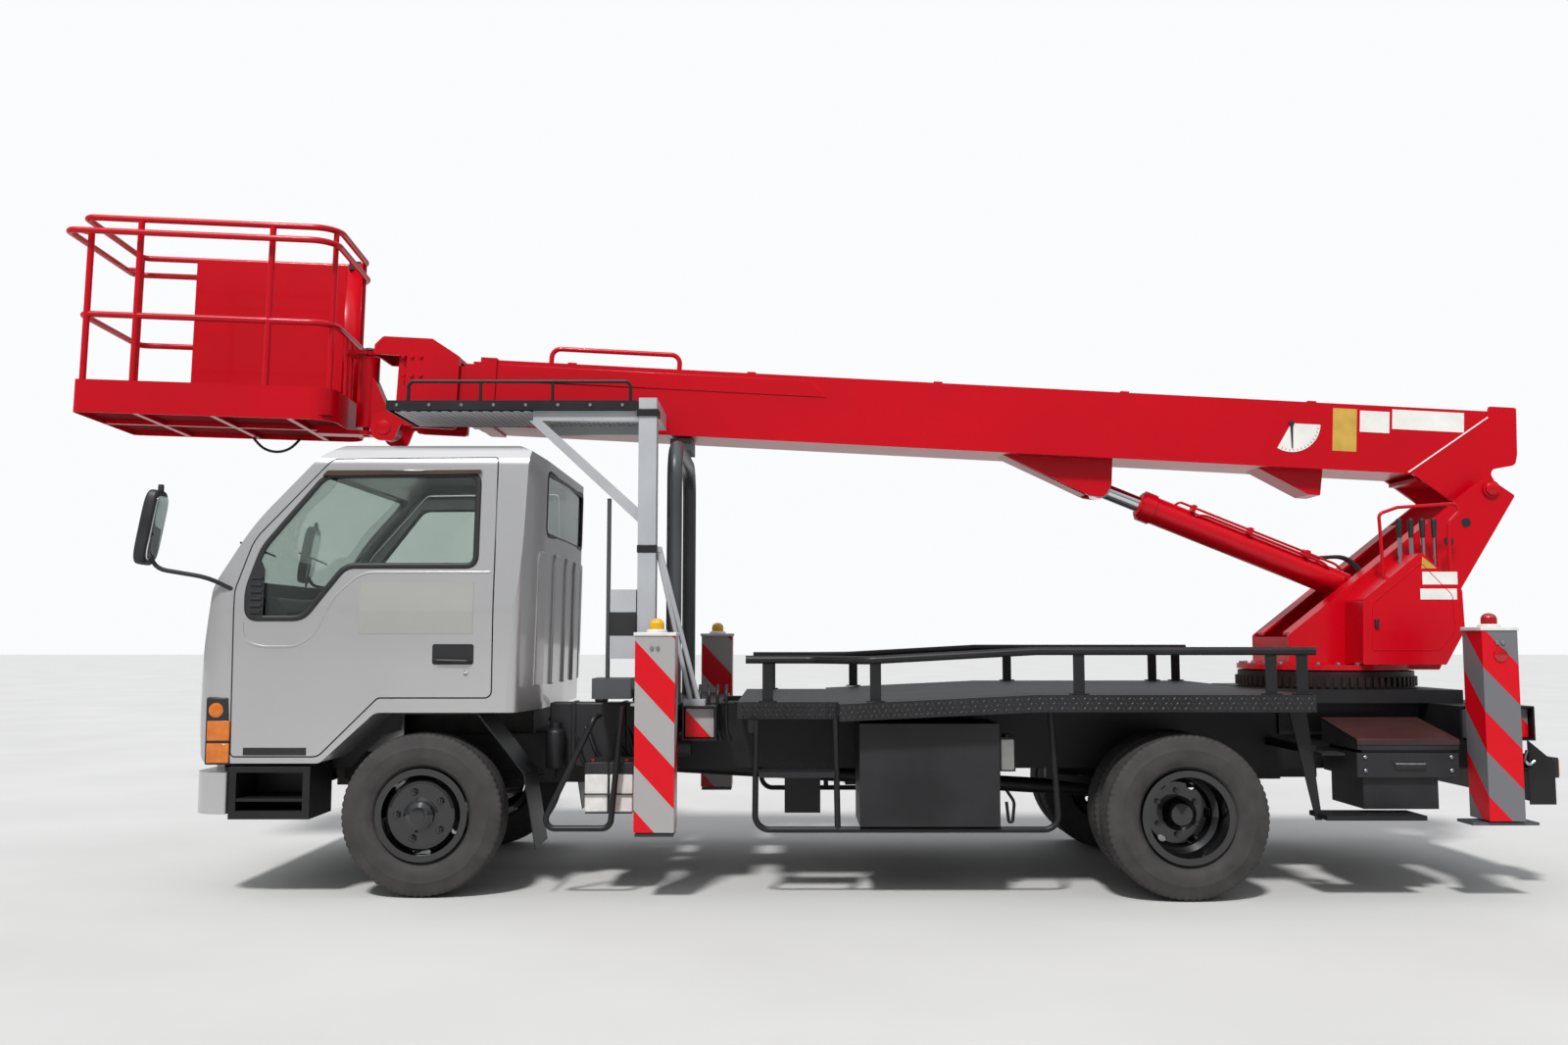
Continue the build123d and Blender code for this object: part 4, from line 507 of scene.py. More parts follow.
def chest(x0, x1, y0, y1, z0, z1):
    """A rectangular block between two corners."""
    return plate(x0, x1, z0, z1, y0, y1)


def knob(centre, axis, radius, height, sides=6):
    """A bolt head or a cap: a short turned drum with a chamfered top."""
    top = abs(height)
    side = 1 if height > 0 else -1
    profile = [
        (0, 0), (radius, 0), (radius, side * top * 0.8), (radius * 0.82, side * top), (0, side * top),
    ]
    return turned(profile, centre, axis, sides)


def on_both_sides(shapes):
    """The shapes and their mirror images across the truck's middle."""
    return shapes + [(vertices * [1, -1, 1], faces) for vertices, faces in shapes]


# %% [markdown]
# One function turns the arrays into an object. It merges double points, turns the faces outwards,
# softens the edges with a Bevel where the real piece has rounded ones, and makes it ride.


# %% Making a piece
def piece(name, shapes, material, body="chassis", place=plain, edge=0.0, sharp=35, slot=None):
    """Joins shapes into one object with the given material, riding on a body. The slot argument is not used."""
    slot = slot or HOME_SLOT[material.name]
    vertices, faces, count = [], [], 0
    for points, quads in shapes:
        vertices.append(place(points))
        faces += [[corner + count for corner in face] for face in quads]
        count += len(points)
    everything = np.concatenate(vertices) + [AXLE_X, 0, 0]
    mesh = bpy.data.meshes.new(name)
    mesh.from_pydata(everything.tolist(), [], faces)
    work = bmesh.new()
    work.from_mesh(mesh)
    bmesh.ops.remove_doubles(work, verts=work.verts, dist=1e-5)
    bmesh.ops.recalc_face_normals(work, faces=work.faces)
    work.to_mesh(mesh)
    work.free()
    mesh.shade_smooth()
    mesh.set_sharp_from_angle(angle=math.radians(sharp))
    mesh.materials.append(material)
    obj = bpy.data.objects.new(name, mesh)
    bpy.context.scene.collection.objects.link(obj)
    if edge:
        soften = obj.modifiers.new("rounded_edges", "BEVEL")
        soften.width = edge
        soften.segments = 2
        soften.limit_method = "ANGLE"
    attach(obj, body)
    return obj


# %% [markdown]
# ## Hose under the basket
# A short black hose hangs in a loop under the far edge of the basket's tray and goes back into it.
# It is a smooth NURBS line with a round bevel, and its points are read back from a copy without the bevel.

# %% Hose loop
HOSE_DIAMETER = 0.016
HOSE_Y = -0.34
hose_route = [
    (1.392, HOSE_Y, 2.456), (1.362, HOSE_Y, 2.418), (1.318, HOSE_Y, 2.383), (1.255, HOSE_Y, 2.366),
    (1.192, HOSE_Y, 2.376), (1.142, HOSE_Y, 2.408), (1.108, HOSE_Y, 2.450),
]
hose_curve = bpy.data.curves.new("basket_hose", "CURVE")
hose_curve.dimensions = "3D"
hose_curve.bevel_depth = HOSE_DIAMETER / 2
hose_curve.bevel_resolution = 4
hose_line = hose_curve.splines.new("NURBS")
hose_line.points.add(len(hose_route) - 1)
for point, (x, y, z) in zip(hose_line.points, hose_route):
    point.co = (x + AXLE_X, y, z, 1.0)
hose_line.order_u = 3
hose_line.use_endpoint_u = True
hose = bpy.data.objects.new("basket_hose", hose_curve)
bpy.context.scene.collection.objects.link(hose)
hose_curve.materials.append(hose_rubber)
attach(hose, "basket")
bare = hose_curve.copy()
bare.bevel_depth = 0.0
bare_object = bpy.data.objects.new("bare", bare)
hose_points = np.array([v.co for v in bpy.data.meshes.new_from_object(bare_object).vertices])
bpy.data.objects.remove(bare_object)

# %% [markdown]
# ## Floor and light
# A plain pale floor, a soft sky and one sun high on the camera's side. The sky that lights the
# paint is dim near the horizon and bright overhead, so upright faces keep their deep colour and
# the tops shine. The camera sees plain white instead, straight on or through the windows.


# %% Studio
def lit_white(name, colour):
    """A pale matt floor with faint clouds in its colour."""
    material = bpy.data.materials.new(name)
    material.use_nodes = True
    tree, shader, place = opened(material)
    clouds = add(tree, "ShaderNodeTexNoise", {"Scale": 0.7, "Detail": 3.0}, {"Vector": place})
    ramp = add(tree, "ShaderNodeValToRGB", None, {"Fac": clouds.outputs["Fac"]})
    set_stops(ramp, [(0.3, colour), (0.7, "bfbebc")])
    tree.links.new(ramp.outputs["Color"], shader.inputs["Base Color"])
    shader.inputs["Roughness"].default_value = 0.85
    return material


FLOOR_HALF = 90.0
floor_mesh = bpy.data.meshes.new("floor")
floor_edges = [-FLOOR_HALF, FLOOR_HALF]
floor_grid = np.stack(np.meshgrid(floor_edges, floor_edges, [0.0]), -1).reshape(-1, 3)
floor_mesh.from_pydata(floor_grid.tolist(), [], [(0, 1, 3, 2)])
floor_mesh.flip_normals()
floor = bpy.data.objects.new("floor", floor_mesh)
bpy.context.scene.collection.objects.link(floor)
floor_mesh.materials.append(lit_white("pale_studio_floor", "c6c5c3"))

SKY_LOW, SKY_HIGH = 0.22, 0.85
world = bpy.data.worlds.new("soft_sky")
bpy.context.scene.world = world
world.use_nodes = True
sky = world.node_tree
background = sky.nodes["Background"]
background.inputs["Color"].default_value = (0.93, 0.96, 1.0, 1.0)
upward = add(
    sky, "ShaderNodeSeparateXYZ", None, {"Vector": add(sky, "ShaderNodeTexCoord").outputs["Generated"]},
)
rising = add(
    sky, "ShaderNodeMapRange", {"From Min": 0.0, "From Max": 0.75, "To Min": SKY_LOW, "To Max": SKY_HIGH},
    {"Value": upward.outputs["Z"]},
)
sky.links.new(rising.outputs["Result"], background.inputs["Strength"])
seen = add(sky, "ShaderNodeBackground", {"Color": (0.96, 0.97, 0.98, 1.0), "Strength": 1.0})
rays = add(sky, "ShaderNodeLightPath")
ray_kinds = {0: rays.outputs["Is Camera Ray"], 1: rays.outputs["Is Transmission Ray"]}
straight = add(sky, "ShaderNodeMath", {"operation": "MAXIMUM"}, ray_kinds)
two_skies = {0: straight.outputs[0], 1: background.outputs[0], 2: seen.outputs[0]}
choose = add(sky, "ShaderNodeMixShader", None, two_skies)
sky.links.new(choose.outputs[0], sky.nodes["World Output"].inputs["Surface"])
SUN_STRENGTH = 3.1
sun_data = bpy.data.lights.new("sun", "SUN")
sun_data.energy = SUN_STRENGTH
sun_data.angle = 0.12
sun = bpy.data.objects.new("sun", sun_data)
bpy.context.scene.collection.objects.link(sun)
sun.rotation_euler = (math.radians(-36), math.radians(12), 0.0)
bpy.context.scene.view_settings.view_transform = "Standard"

# %% [markdown]
# ## Tyres
# A truck tyre is a torus with a flat crown. Seen close, it has zigzag grooves round the tread,
# slots across the shoulders and raised rings on the wall. The section is a list of half widths
# and radii, and the tread's depth is a function of the angle and the distance across.

# %% Tyres
TYRE_WALL = np.array([
    (0.0700, 0.2270), (0.0800, 0.2330), (0.0880, 0.2450), (0.0905, 0.2500), (0.0910, 0.2540),
    (0.0950, 0.2600), (0.0995, 0.2800), (0.1025, 0.3050), (0.1018, 0.3230), (0.1025, 0.3260),
    (0.1010, 0.3290), (0.0985, 0.3460), (0.0945, 0.3630), (0.0930, 0.3700), (0.0920, 0.3760),
    (0.0900, 0.3840), (0.0870, 0.3900),
])
TREAD_HALF = 0.083
SHOULDER_SLOTS = 72
AROUND = 360
ACROSS = 38
REAR_TYRE_HALF = 0.1027


def tyre_shape(centre_y, wheel_x):
    """Radius = crown less groove, where the groove depends on the angle and the place across."""
    across = np.linspace(-TREAD_HALF, TREAD_HALF, ACROSS)
    crown = WHEEL_RADIUS - 0.0005 - 0.006 * (across / TREAD_HALF) ** 2
    width = np.concatenate([-TYRE_WALL[:, 0], across, TYRE_WALL[::-1, 0]])
    radius = np.concatenate([TYRE_WALL[:, 1], crown, TYRE_WALL[::-1, 1]])
    angle = np.linspace(0, 2 * np.pi, AROUND, endpoint=False)[:, None]
    turn = angle * SHOULDER_SLOTS / (2 * np.pi)
    zigzag = 0.004 * (np.abs((turn * 2) % 2 - 1) - 0.5)
    grooved = np.zeros((AROUND, len(width)), bool)
    for line in (-0.044, -0.015, 0.015, 0.044):
        grooved |= np.abs(width[None] - line - zigzag) < 0.0042
    slots = (turn + 0.25 * np.sign(width[None])) % 1 < 0.34
    grooved |= slots & (np.abs(width[None]) > 0.062) & (radius[None] > 0.375)
    deep = radius[None] - np.where(slots, 0.004, 0.008) * (grooved & (radius[None] > 0.374))
    shape = np.stack([deep * np.sin(angle), width[None] + 0 * angle, deep * np.cos(angle)], -1)
    points = shape.reshape(-1, 3) + [wheel_x, centre_y, WHEEL_RADIUS]
    return points, grid_faces(AROUND, len(width), True, True)


for place_name, side_name in [("front", "left"), ("front", "right"), ("rear", "left"), ("rear", "right")]:
    node = f"tyre_{place_name}_{side_name}"
    low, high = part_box(node)
    wheel_x = (low.x + high.x) / 2 - AXLE_X
    if place_name == "front":
        shapes = [tyre_shape((low.y + high.y) / 2, wheel_x)]
        body = f"wheel_front_{side_name}"
    else:
        shapes = [
            tyre_shape(low.y + REAR_TYRE_HALF, wheel_x), tyre_shape(high.y - REAR_TYRE_HALF, wheel_x),
        ]
        body = f"wheels_rear_{side_name}"
    tread = piece(f"treaded_{node}", shapes, tyre_rubber, body, sharp=50)
    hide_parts(node)
print("tyre faces", len(tread.data.polygons))

# %% [markdown]
# ## Wheel nuts and hubs
# Nuts on their studs hold each disc, and a cap covers each front hub. The nuts are short turned
# drums of six sides.

# %% Wheel details
FRONT_Y = 0.83
REAR_Y = 0.80
rear_x = (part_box("rim_rear_left")[0].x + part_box("rim_rear_left")[1].x) / 2 - AXLE_X


def ring_of(count, radius, wheel_x, y, size, height, turn=0.0):
    """Nuts evenly round a wheel's centre, each facing outwards."""
    shapes = []
    for angle in np.arange(count) * 2 * np.pi / count + turn:
        centre = (wheel_x + radius * math.sin(angle), y, WHEEL_RADIUS + radius * math.cos(angle))
        shapes.append(knob(centre, "y", size, height, 6))
        shapes.append(knob((centre[0], y + height, centre[2]), "y", size * 0.45, height * 0.5, 10))
    return shapes


for side_name, side in SIDES:
    front_nuts = ring_of(5, 0.117, 0.0, side * (FRONT_Y + 0.090), 0.019, side * 0.022, 0.3)
    hub_cap = [(0.0, 0.0), (0.030, 0.0), (0.030, side * 0.004), (0.0, side * 0.006)]
    front_nuts.append(turned(hub_cap, (0.0, side * (FRONT_Y + 0.1415), WHEEL_RADIUS), "y"))
    piece(f"wheel_nuts_front_{side_name}", front_nuts, gloss_black, f"wheel_front_{side_name}")
    rear_nuts = ring_of(6, 0.108, rear_x, side * (REAR_Y + 0.012), 0.015, side * 0.016)
    piece(f"wheel_nuts_rear_{side_name}", rear_nuts, gloss_black, f"wheels_rear_{side_name}")

# %% [markdown]
# ## Cab windows
# Glass is held by a black rubber that laps over glass and sheet. It is a flattened bar carried
# round the opening. A thin tinted visor sheds rain over the door's window.

# %% Window rubbers and visor
side_window = [
    (-0.25, 0.0, 1.62), (0.395, 0.0, 1.62), (0.59, 0.0, 1.361), (0.864, 0.0, 1.361),
    (0.872, 0.0, 1.50), (0.806, 0.0, 1.71), (0.515, 0.0, 2.075), (-0.25, 0.0, 2.08),
]


LOUVRE_PITCH = 0.034


def closed_path(points, bend):
    """A closed line through the points with rounded corners."""
    points = np.asarray(points, float)
    looped = np.concatenate([points[-1:], points, points[:1]])
    return rounded(looped, bend, 6)[1:-1]


rubber_line = on_cab_side(closed_path(side_window, 0.05))
for side_name, side in SIDES:
    door = f"door_{side_name}"
    rubber = [bar(rubber_line * [1, side, 1], 0.015, closed=True, flat=0.55)]
    piece(f"door_window_rubber_{side_name}", rubber, seal_rubber, door)
    visor = [(0.530, 2.072), (-0.262, 2.082), (-0.262, 2.104), (0.505, 2.100)]
    shape = slab(visor, 0.004, 0.022)
    points = on_cab_side(shape[0]) * [1, side, 1]
    piece(f"rain_visor_{side_name}", [(points, shape[1])], bronze_acrylic, door, edge=0.004)
    quarter = [(0.862, 1.366), (0.788, 1.366), (0.788, 1.60), (0.815, 1.655), (0.836, 1.60), (0.868, 1.50)]
    quarter = slab(quarter, 0.002, 0.008)
    louvre_feet = 1.385 + LOUVRE_PITCH * np.arange(6)
    louvres = [plate(0.852, 0.796, z, z + 0.013, 0.008, 0.014) for z in louvre_feet]
    shapes = [(on_cab_side(p) * [1, side, 1], f) for p, f in [quarter] + louvres]
    piece(f"window_quarter_panel_{side_name}", shapes, black_plastic, door)

# The screen leans back in a shallow curve, given here by three heights
screen_corners = [(-0.79, 1.545), (0.79, 1.545), (0.79, 2.11), (-0.79, 2.11)]


def on_screen(points):
    """(out, y, z) to the plane of the windscreen."""
    out, y, z = np.moveaxis(np.asarray(points, float), -1, 0)
    return np.stack([np.interp(z, [1.50, 1.83, 2.19], [1.052, 0.860, 0.535]) - 0.012 + out, y, z], -1)


screen_line = on_screen(closed_path([(0.004, y, z) for y, z in screen_corners], 0.07))
piece("windscreen_rubber", [bar(screen_line, 0.018, closed=True, flat=0.5)], seal_rubber)

# Black splash panels close the view from the wheel arches into the cab's tunnel. Their lower
# rear corner is cut away, because the tyre swings in there at full lock.
splash_outline = [
    (0.45, 0.60), (0.80, 0.60), (0.80, 0.66), (0.52, 0.70), (0.24, 0.90), (0.20, 0.90),
    (0.20, 0.79), (0.30, 0.76), (0.36, 0.70),
]
splash = [slab(splash_outline, 0.592, 0.598)]
piece("arch_splash_panels", on_both_sides(splash), black_plastic)

# %% Wipers
wipers = []
for hub_y in (0.42, -0.38):
    arm = on_screen([(0.03, hub_y, 1.50), (0.045, hub_y + 0.05, 1.56), (0.03, hub_y + 0.28, 1.72)])
    blade = on_screen(
        [(0.018, hub_y + 0.02, 1.70), (0.02, hub_y + 0.28, 1.72), (0.018, hub_y + 0.52, 1.735)]
    )
    wipers += [
        bar(arm, 0.006, 0.03), bar(blade, 0.007, 0.0, 8, 0.6),
        knob(on_screen([(0.0, hub_y, 1.50)])[0], "x", 0.018, 0.035, 12),
    ]
piece("wipers", wipers, black_plastic)

# %% [markdown]
# ## Door furniture
# The handle is a black moulded pocket with a metal bar at its bottom, and a lock below it. A
# plain grey sheet and a black strip are the places for lettering, and stay blank.

# %% Doors
for side_name, side in SIDES:
    def to_door(points, side=side):
        """Onto the wall of this side."""
        return on_cab_side(points) * [1, side, 1]

    door = f"door_{side_name}"
    pocket = [
        (-0.058, 1.134), (-0.245, 1.134), (-0.253, 1.142), (-0.253, 1.227), (-0.245, 1.235),
        (-0.058, 1.235), (-0.05, 1.227), (-0.05, 1.142),
    ]
    pocket = [slab(pocket, -0.004, 0.003)]
    piece(f"door_handle_pocket_{side_name}", pocket, black_plastic, door, to_door, 0.002)
    lever_line = [
        (-0.064, 0.004, 1.158), (-0.075, 0.016, 1.156), (-0.225, 0.016, 1.152), (-0.238, 0.004, 1.150),
    ]
    lever = [bar(lever_line, 0.011, 0.01, 10, 0.7)]
    piece(f"door_handle_bar_{side_name}", lever, satin_box, door, to_door, slot="mirror_black")
    lock_profile = [(0, -0.002), (0.014, -0.002), (0.014, 0.003), (0.011, 0.005), (0, 0.004)]
    lock = turned(lock_profile, (-0.216, 0, 1.091), "y")
    piece(f"door_lock_{side_name}", [lock], chrome, door, to_door)
    ridge = [
        (0.885, 0, 1.34), (0.882, 0, 1.256), (0.80, 0, 1.222), (0.62, 0, 1.222), (0.535, 0, 1.28),
        (0.445, 0, 1.47), (0.31, 0, 1.588), (-0.324, 0, 1.588),
    ]
    ridge = [bar(ridge, 0.006, 0.06, 8, 0.7)]
    piece(f"door_ridge_{side_name}", ridge, silver_lacquer, door, to_door)
    strip = [plate(0.863, 0.555, 0.731, 0.694, -0.002, 0.003)]
    piece(f"blank_strip_{side_name}", strip, black_plastic, door, to_door, 0.002)
    steps = np.linspace(1.285, 1.54, 8)
    sign = [plate(0.316, -0.245, z0, z1, -0.006, 0.002) for z0, z1 in zip(steps, steps[1:])]
    piece(f"blank_sign_{side_name}", sign, grey_vinyl, door, to_door)

# %% [markdown]
# ## Lamps and the cab's front
# Headlamps sit behind clear lenses in a dark bezel, with a louvred grille between them. Amber
# lamps wrap the corners in two tiers, and a small round one sits above.

# %% Front of the cab
bezels, lenses, corners_amber = [], [], []
bezels.append(slab([(0.922, 0.648), (1.050, 0.648), (1.050, 0.975), (0.940, 0.975)], 0.940, 0.9745))
bezels.append(plate(0.50, 0.80, 0.69, 0.86, 1.07, 1.120, "x"))
lenses.append(
    slab([(0.53, 0.705), (0.78, 0.705), (0.785, 0.775), (0.77, 0.845), (0.53, 0.845)], 1.10, 1.129, "x")
)
for z0, z1 in ((0.657, 0.752), (0.764, 0.861)):
    corners_amber.append(plate(0.930, 1.040, z0, z1, 0.950, 0.979))
corners_amber.append(
    turned([(0, 0), (0.038, 0), (0.038, 0.008), (0.026, 0.014), (0, 0.016)], (1.000, 0.966, 0.912), "y")
)
piece("headlamp_bezels", on_both_sides(bezels), black_plastic, edge=0.008)
lamp = piece("headlamp_lenses", on_both_sides(lenses), clear_lens, edge=0.010)
piece("corner_lamps", on_both_sides(corners_amber), amber_lens, edge=0.006)
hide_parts("front_lamps")
grille = [plate(-0.50, 0.50, 0.69, 0.86, 1.07, 1.112, "x")]
grille += [plate(-0.48, 0.48, z, z + 0.012, 1.10, 1.124, "x") for z in (0.71, 0.745, 0.78, 0.815)]
piece("grille", grille, black_plastic, edge=0.003)
front_panel = [plate(-0.26, 0.26, 0.44, 0.55, 1.11, 1.130, "x")]
piece("blank_front_plate", front_panel, white_vinyl, edge=0.003)

# %% [markdown]
# ## Back of the cab
# Pressed ribs stiffen the rear wall below its window. The wall is bowed and leans a little, so
# each rib is placed by the wall's own function.


# %% Rear wall
REAR_WALL_X = -0.4517
REAR_LEAN = 0.02
REAR_BOW = 0.073
BOW_POWER = 2.6


def on_rear_wall(points):
    """(out, y, z) to the rear wall: x = foot - lean * height - bow * (1 - (|y| / half)^power)."""
    out, y, z = np.moveaxis(np.asarray(points, float), -1, 0)
    bow = REAR_BOW * (1 - np.minimum(1.0, np.abs(y) / CAB_WALL_Y) ** BOW_POWER)
    return np.stack([REAR_WALL_X - REAR_LEAN * (z - 0.4) - bow - out, y, z], -1)


ribs = []
for middle in (-0.66, -0.33, 0.0, 0.33, 0.66):
    outline = [
        (middle - 0.075, 1.02), (middle + 0.075, 1.02), (middle + 0.075, 1.66), (middle + 0.045, 1.71),
        (middle - 0.045, 1.71), (middle - 0.075, 1.66),
    ]
    ribs.append(slab(outline, -0.006, 0.010, "x"))
piece("rear_wall_ribs", ribs, silver_lacquer, "chassis", on_rear_wall, 0.006)
rear_corners = [(0.0, -0.6, 1.80), (0.0, 0.6, 1.80), (0.0, 0.6, 2.13), (0.0, -0.6, 2.13)]
rear_line = on_rear_wall(closed_path(rear_corners, 0.05))
piece("rear_window_rubber", [bar(rear_line, 0.014, closed=True, flat=0.6)], seal_rubber)

# %% [markdown]
# ## Seats and mirrors
# Foam cushions under cloth bulge between their seams. Each is a rounded box: the sine and cosine
# of two angles raised to a small power, so the faces are nearly flat and the corners full. A
# sewn channel is a narrow dip across the middle. The mirrors stand on black tubes bent out from
# the front pillars, and each housing is the same shape without channels, leaning back.

# %% Seats and mirrors
CUSHION_POWER = 0.42


def cushion_shape(centre, size, lean=0.0, channels=2):
    """x, y, z = half size * signed power of the sphere's terms, with dips at the channels."""
    down = np.linspace(-np.pi / 2, np.pi / 2, 34)[:, None]
    around = np.linspace(0, 2 * np.pi, 64, endpoint=False)[None]

    def full(value):
        return np.sign(value) * np.abs(value) ** CUSHION_POWER

    a = full(np.cos(down)) * full(np.cos(around))
    b = full(np.cos(down)) * full(np.sin(around))
    c = full(np.sin(down)) + 0 * around
    dip = sum(np.exp(-((b - spot) / 0.035) ** 2) for spot in np.linspace(-0.6, 0.6, channels + 1))
    x = a * size[0] / 2 * (1 - 0.05 * dip * np.abs(a))
    y = b * size[1] / 2
    z = c * size[2] / 2 * (1 - 0.10 * dip * (np.abs(c) > 0.6))
    turned_x = x * math.cos(lean) - z * math.sin(lean)
    turned_z = x * math.sin(lean) + z * math.cos(lean)
    points = np.stack([turned_x, y, turned_z], -1).reshape(-1, 3) + centre
    return points, grid_faces(34, 64, False, True)


MIRROR_LEAN = 0.17
MIRROR_AT = np.array([1.305, 1.08, 1.80])
housing = cushion_shape(MIRROR_AT, (0.066, 0.15, 0.37), MIRROR_LEAN, -1)
arm = [(0.95, 0.955, 1.505), (1.05, 1.01, 1.560), (1.28, 1.07, 1.60), (1.315, 1.08, 1.70)]
arms = [bar(arm, 0.011, 0.06), knob((1.262, 1.08, 1.975), "z", 0.014, 0.035, 12)]
mirrors = piece("mirror_housings", on_both_sides([housing] + arms), black_plastic, sharp=60)
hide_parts("mirrors")
pane = cushion_shape(MIRROR_AT - [0.031, 0, 0.005], (0.012, 0.122, 0.32), MIRROR_LEAN, -1)
piece("mirror_glasses", on_both_sides([pane]), mirror_glass, sharp=60)
SEAT_ROWS = [("driver", -0.47, 0.49), ("bench", 0.24, 0.87)]
stand = []
for seat_name, y, width in SEAT_ROWS:
    pads = [
        ("cushion", (0.05, y, 1.145), (0.55, width, 0.15), 0.0),
        ("back", (-0.222, y, 1.51), (0.11, width, 0.64), 0.10),
    ]
    for part_name, centre, size, lean in pads:
        pad = piece(
            f"seat_{part_name}_{seat_name}", [cushion_shape(centre, size, lean)], seat_cloth, sharp=60,
        )
    stand.append(chest(-0.20, 0.25, y - width / 2 + 0.05, y + width / 2 - 0.05, 0.936, 1.08))
stands = piece("seat_stands", stand, black_plastic, edge=0.01, slot="cab_plastic")
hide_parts("seats")

# %% [markdown]
# ## Marks on the boom
# The left side has a quadrant that shows the boom's angle, with a hanging needle, and several
# printed labels, which stay blank. Doubler plates strengthen the front end.

# %% Boom labels and plates
def to_boom(x, z):
    """A point of the truck's side view in the boom's axes."""
    dx, dz = x - joint_at["boom_lift"][0], z - joint_at["boom_lift"][2]
    cosine, sine = math.cos(BOOM_LEAN), math.sin(BOOM_LEAN)
    return dx * cosine + dz * sine, dz * cosine - dx * sine


def boom_label(x0, x1, z0, z1):
    """A rectangle along the boom between two corners of the truck's side view."""
    u, w = to_boom((x0 + x1) / 2, (z0 + z1) / 2)
    half_u, half_w = abs(x1 - x0) / 2, abs(z1 - z0) / 2
    corners = [(u + a * half_u, w + b * half_w) for a, b in ((-1, -1), (1, -1), (1, 1), (-1, 1))]
    return slab(corners, BOOM_HALF, BOOM_HALF + 0.0012)


whites = [boom_label(-4.991, -5.156, 2.405, 2.525), boom_label(-5.172, -5.572, 2.415, 2.525)]
piece("boom_white_labels", whites, white_vinyl, "boom_base", on_boom)
piece("boom_gold_label", [boom_label(-4.838, -4.971, 2.30, 2.54)], gold_vinyl, "boom_base", on_boom)
dial_u, dial_w = to_boom(-4.608, 2.457)
DIAL_RADIUS = 0.162
fan = np.linspace(np.pi, np.pi * 1.655, 15)
dial = [(dial_u, dial_w)] + [
    (dial_u + DIAL_RADIUS * math.cos(a), dial_w + DIAL_RADIUS * math.sin(a)) for a in fan
]
piece("angle_dial", [slab(dial, BOOM_HALF, BOOM_HALF + 0.003)], white_vinyl, "boom_base", on_boom)
ticks = []
inner, outer, spread = 0.145, 0.157, 0.008
tick_corners = ((inner, -spread), (outer, -spread), (outer, spread), (inner, spread))
for a in fan[1:-1]:
    tick = [(dial_u + r * math.cos(a + d), dial_w + r * math.sin(a + d)) for r, d in tick_corners]
    ticks.append(slab(tick, BOOM_HALF + 0.003, BOOM_HALF + 0.0042))
blade = [(-0.008, 0.0), (0.008, 0.0), (-0.004, -0.140), (-0.010, -0.140)]
outline = [(dial_u + u, dial_w + w) for u, w in blade]
needle = [slab(outline, BOOM_HALF + 0.005, BOOM_HALF + 0.008)]
hub = [(0, 0.0), (0.014, 0.0), (0.014, 0.010), (0, 0.012)]
needle.append(turned(hub, (dial_u, BOOM_HALF, dial_w), "y", 16))
piece("angle_needle", needle + ticks, black_plastic, "boom_base", on_boom)
line_start, line_end = to_boom(-5.251, 2.181), to_boom(-5.706, 2.49)
pale_line = [(u, BOOM_HALF + 0.001, w) for u, w in (line_start, line_end)]
piece("boom_pale_line", [bar(pale_line, 0.004, sides=6)], white_vinyl, "boom_base", on_boom)
DOUBLER = [
    (to_boom(-2.013, 2.62)[0], 0.335), (to_boom(-1.93, 2.62)[0], 0.425), (5.50, 0.425), (5.50, 0.335),
]
doublers = on_both_sides([slab(DOUBLER, BOOM_HALF - 0.002, BOOM_HALF + 0.005)])
piece("boom_doublers", doublers, red_enamel, "boom_base", on_boom, 0.003)

# %% Head of the boom
HEAD_HALF = 0.17
head_bolts = []
for x in (0.36, 0.31, 0.26):
    for z in (2.73, 2.835):
        u, w = to_boom(x, z)
        head_bolts.append(knob((u, HEAD_HALF - 0.001, w), "y", 0.012, 0.010))
piece("head_bolts", on_both_sides(head_bolts), red_enamel, "boom_tip", on_boom)
level_u, level_w = to_boom(joint_at["basket_level"][0], joint_at["basket_level"][2])
cap_profile = [(0, 0), (0.040, 0), (0.040, 0.006), (0.026, 0.010), (0.0, 0.010)]
level_cap = [turned(cap_profile, (level_u, 0.142, level_w), "y")]
piece("level_pin_caps", on_both_sides(level_cap), red_enamel, "boom_tip", on_boom)

# %% [markdown]
# ## Turntable
# Bolts clamp the table to the ring. The cabinet at its left holds the valves: chrome levers with
# black grips stand out of it behind a guard, and its labels stay blank.

# %% Turntable and its cabinet
RING_BOLTS = 28
BOLT_CIRCLE = 0.442
TABLE_TOP = 1.121
bolts = []
for angle in np.arange(RING_BOLTS) * 2 * np.pi / RING_BOLTS:
    spot = (SLEW_X + BOLT_CIRCLE * math.cos(angle), BOLT_CIRCLE * math.sin(angle), TABLE_TOP - 0.002)
    bolts.append(knob(spot, "z", 0.013, 0.014))
piece("ring_bolts", bolts, zinc, "turntable")
LEVER_Y = 0.40
GRIP_PROFILE = [
    (0.0105, 1.80), (0.0125, 1.802), (0.014, 1.84), (0.0165, 1.880), (0.0165, 1.895), (0.010, 1.904),
    (0, 1.906),
]
grips, stems = [], []
for index in range(4):
    lever_x = -5.085 - 0.062 * index
    stems.append(bar([(lever_x, LEVER_Y, 1.655 - 0.045 * index), (lever_x, LEVER_Y, 1.82)], 0.0105))
    grips.append(turned(GRIP_PROFILE, (lever_x, LEVER_Y, 0), "z", 16))
piece("lever_stems", stems, chrome, "turntable")
piece("lever_grips", grips, black_plastic, "turntable")
CABINET_FACE = 0.51
seam = [
    (-4.87, 0.0, 1.20), (-4.88, 0.0, 1.45), (-5.14, 0.0, 1.66), (-5.30, 0.0, 1.49), (-5.31, 0.0, 1.31),
    (-5.22, 0.0, 1.20),
]
